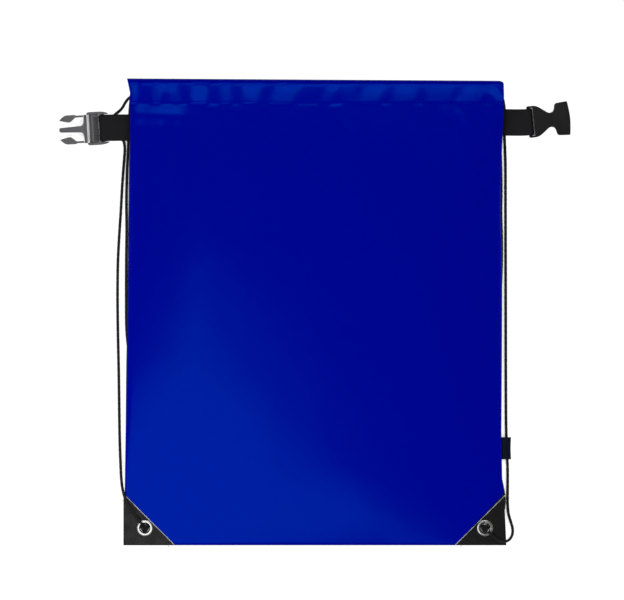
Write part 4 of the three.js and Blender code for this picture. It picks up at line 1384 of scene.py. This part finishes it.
class BACKPACK_OT_corners(bpy.types.Operator):
    """Make the corner patches with their stitches, eyelets and washers"""

    bl_idname = "backpack.corners"
    bl_label = "Corner patches and eyelets"

    def execute(self, context):
        cloth = context.scene.backpack_cloth
        lines = BagLines(cloth)
        coated = coated_cloth(cloth)
        black = thread("polyester_thread_black", linear("#101012"))
        edge_colour, _, _ = new_material("vinyl_cut_edge", cloth.patch_edge, 0.6)
        plated = nickel_plate(context.scene.backpack_buckle)
        for side, word in ((-1, "left"), (1, "right")):
            bm = patch_mesh(lines, side)
            piece = finish_piece(f"patch_{word}", bm, coated)
            thicken(piece, lines.wall * MM)
            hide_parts(f"corner_patch_{word}")
            # Two rows of stitches, and the pale cut edge with its bead of coating
            bm = bmesh.new()
            for inset in (2.0, 4.6):
                points = patch_lines(lines, side, inset, 0.12)
                stitch_row(bm, points, [Vector((0, 0, 1))] * len(points), 2.0 * MM, THREAD)
            finish_piece(f"patch_stitches_{word}", bm, black)
            rim = smooth_path(patch_lines(lines, side, 0.1, -0.3, (0.01, 0.99)), 1.5 * MM)
            bm = plain_tube(rim, 0.38 * MM)
            finish_piece(f"patch_cut_edge_{word}", bm, edge_colour)
            for kind, node, profile in (
                ("ring", "eyelet", EYELET_PROFILE),
                ("back", "eyelet_washer", WASHER_PROFILE),
            ):
                bm = spun(profile, eyelet_at(lines, side))
                piece = finish_piece(f"eyelet_{kind}_{word}", bm, plated)
                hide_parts(f"{node}_{word}")
        return {"FINISHED"}


class BACKPACK_OT_label(bpy.types.Operator):
    """Make the bare label in the right side seam"""

    bl_idname = "backpack.label"
    bl_label = "Side label"

    def execute(self, context):
        cloth = context.scene.backpack_cloth
        low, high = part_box("side_label")
        bm = bmesh.new()
        bmesh.ops.create_grid(bm, x_segments=16, y_segments=24, size=1)
        # It comes out from between the two panels and stands up a little over the edge
        foot, rise, dip, bow = 4.1, 1.0, 0.5, 0.25
        for vert in bm.verts:
            s, t = (vert.co.x + 1) / 2, (vert.co.y + 1) / 2
            x = low.x + (high.x - low.x) * s - 0.35 * MM * math.sin(math.pi * t) * s
            y = low.y + (high.y - low.y) * t
            out = (x - low.x) / MM
            z = foot + rise * step(out, 1.4, 4.2) - dip * step(out, 5, 11)
            z += bow * math.sin(math.pi * t) * step(out, 1.4, 9)
            vert.co = Vector((x, y, z * MM))
        piece = finish_piece("label_tab", bm, satin_tape(cloth))
        thicken(piece, 0.9 * MM)
        round_edges(piece, 0.2 * MM)
        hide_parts("side_label")
        return {"FINISHED"}


class BACKPACK_OT_strap(bpy.types.Operator):
    """Make the webbing strap with its two loops"""

    bl_idname = "backpack.strap"
    bl_label = "Cross strap"

    def execute(self, context):
        lines = BagLines(context.scene.backpack_cloth)
        strap = context.scene.backpack_strap
        places = [buckle_place("male_buckle_swing"), buckle_place("female_buckle_swing")]
        bm = strap_mesh(lines, strap, places)
        piece = finish_piece("webbing_strap", bm, webbing(strap))
        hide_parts("cross_strap")
        return {"FINISHED"}


class BACKPACK_OT_buckle(bpy.types.Operator):
    """Make the plug half with its latch arms, and the socket half"""

    bl_idname = "backpack.buckle"
    bl_label = "Buckle halves"

    def execute(self, context):
        buckle = context.scene.backpack_buckle
        grey = moulded_plastic("moulded_acetal_grey", buckle.plug, 0.36, 0.5)
        black = moulded_plastic("moulded_acetal_black", buckle.socket, 0.42, 0.25)
        for node, name, material, slot, body in (
            ("male_buckle_frame", "plug_frame", grey, "grey_plastic", "male_buckle"),
            ("latch_arm_upper", "plug_arm_upper", grey, "grey_plastic", "latch_upper"),
            ("latch_arm_lower", "plug_arm_lower", grey, "grey_plastic", "latch_lower"),
            ("female_buckle_body", "socket_shell", black, "black_plastic", "female_buckle"),
        ):
            moulded_copy(node, name, material, body, buckle.edge)
        return {"FINISHED"}


class BACKPACK_PT_panel(bpy.types.Panel):
    bl_label = "Backpack"
    bl_idname = "BACKPACK_PT_panel"
    bl_space_type = "VIEW_3D"
    bl_region_type = "UI"
    bl_category = "Backpack"

    def draw(self, context):
        for operator in OPERATORS:
            self.layout.operator(operator.bl_idname)
        for group in GROUPS:
            settings = getattr(context.scene, group)
            box = self.layout.box()
            for key in settings.__annotations__:
                box.prop(settings, key)


OPERATORS = (
    BACKPACK_OT_stage,
    BACKPACK_OT_cords,
    BACKPACK_OT_cloth,
    BACKPACK_OT_corners,
    BACKPACK_OT_label,
    BACKPACK_OT_strap,
    BACKPACK_OT_buckle,
)
GROUPS = {
    "backpack_cloth": BackpackCloth,
    "backpack_cords": BackpackCords,
    "backpack_strap": BackpackStrap,
    "backpack_buckle": BackpackBuckle,
    "backpack_stage": BackpackStage,
}


def register():
    for kind in (*GROUPS.values(), *OPERATORS, BACKPACK_PT_panel):
        bpy.utils.register_class(kind)
    for name, kind in GROUPS.items():
        setattr(bpy.types.Scene, name, PointerProperty(type=kind))


def unregister():
    for name in GROUPS:
        delattr(bpy.types.Scene, name)
    for kind in reversed((*GROUPS.values(), *OPERATORS, BACKPACK_PT_panel)):
        bpy.utils.unregister_class(kind)


def main():
    register()
    bpy.ops.backpack.stage()
    bpy.ops.backpack.cords()
    bpy.ops.backpack.cloth()
    bpy.ops.backpack.corners()
    bpy.ops.backpack.label()
    bpy.ops.backpack.strap()
    bpy.ops.backpack.buckle()
    bpy.context.view_layer.update()


if __name__ == "__main__":
    main()
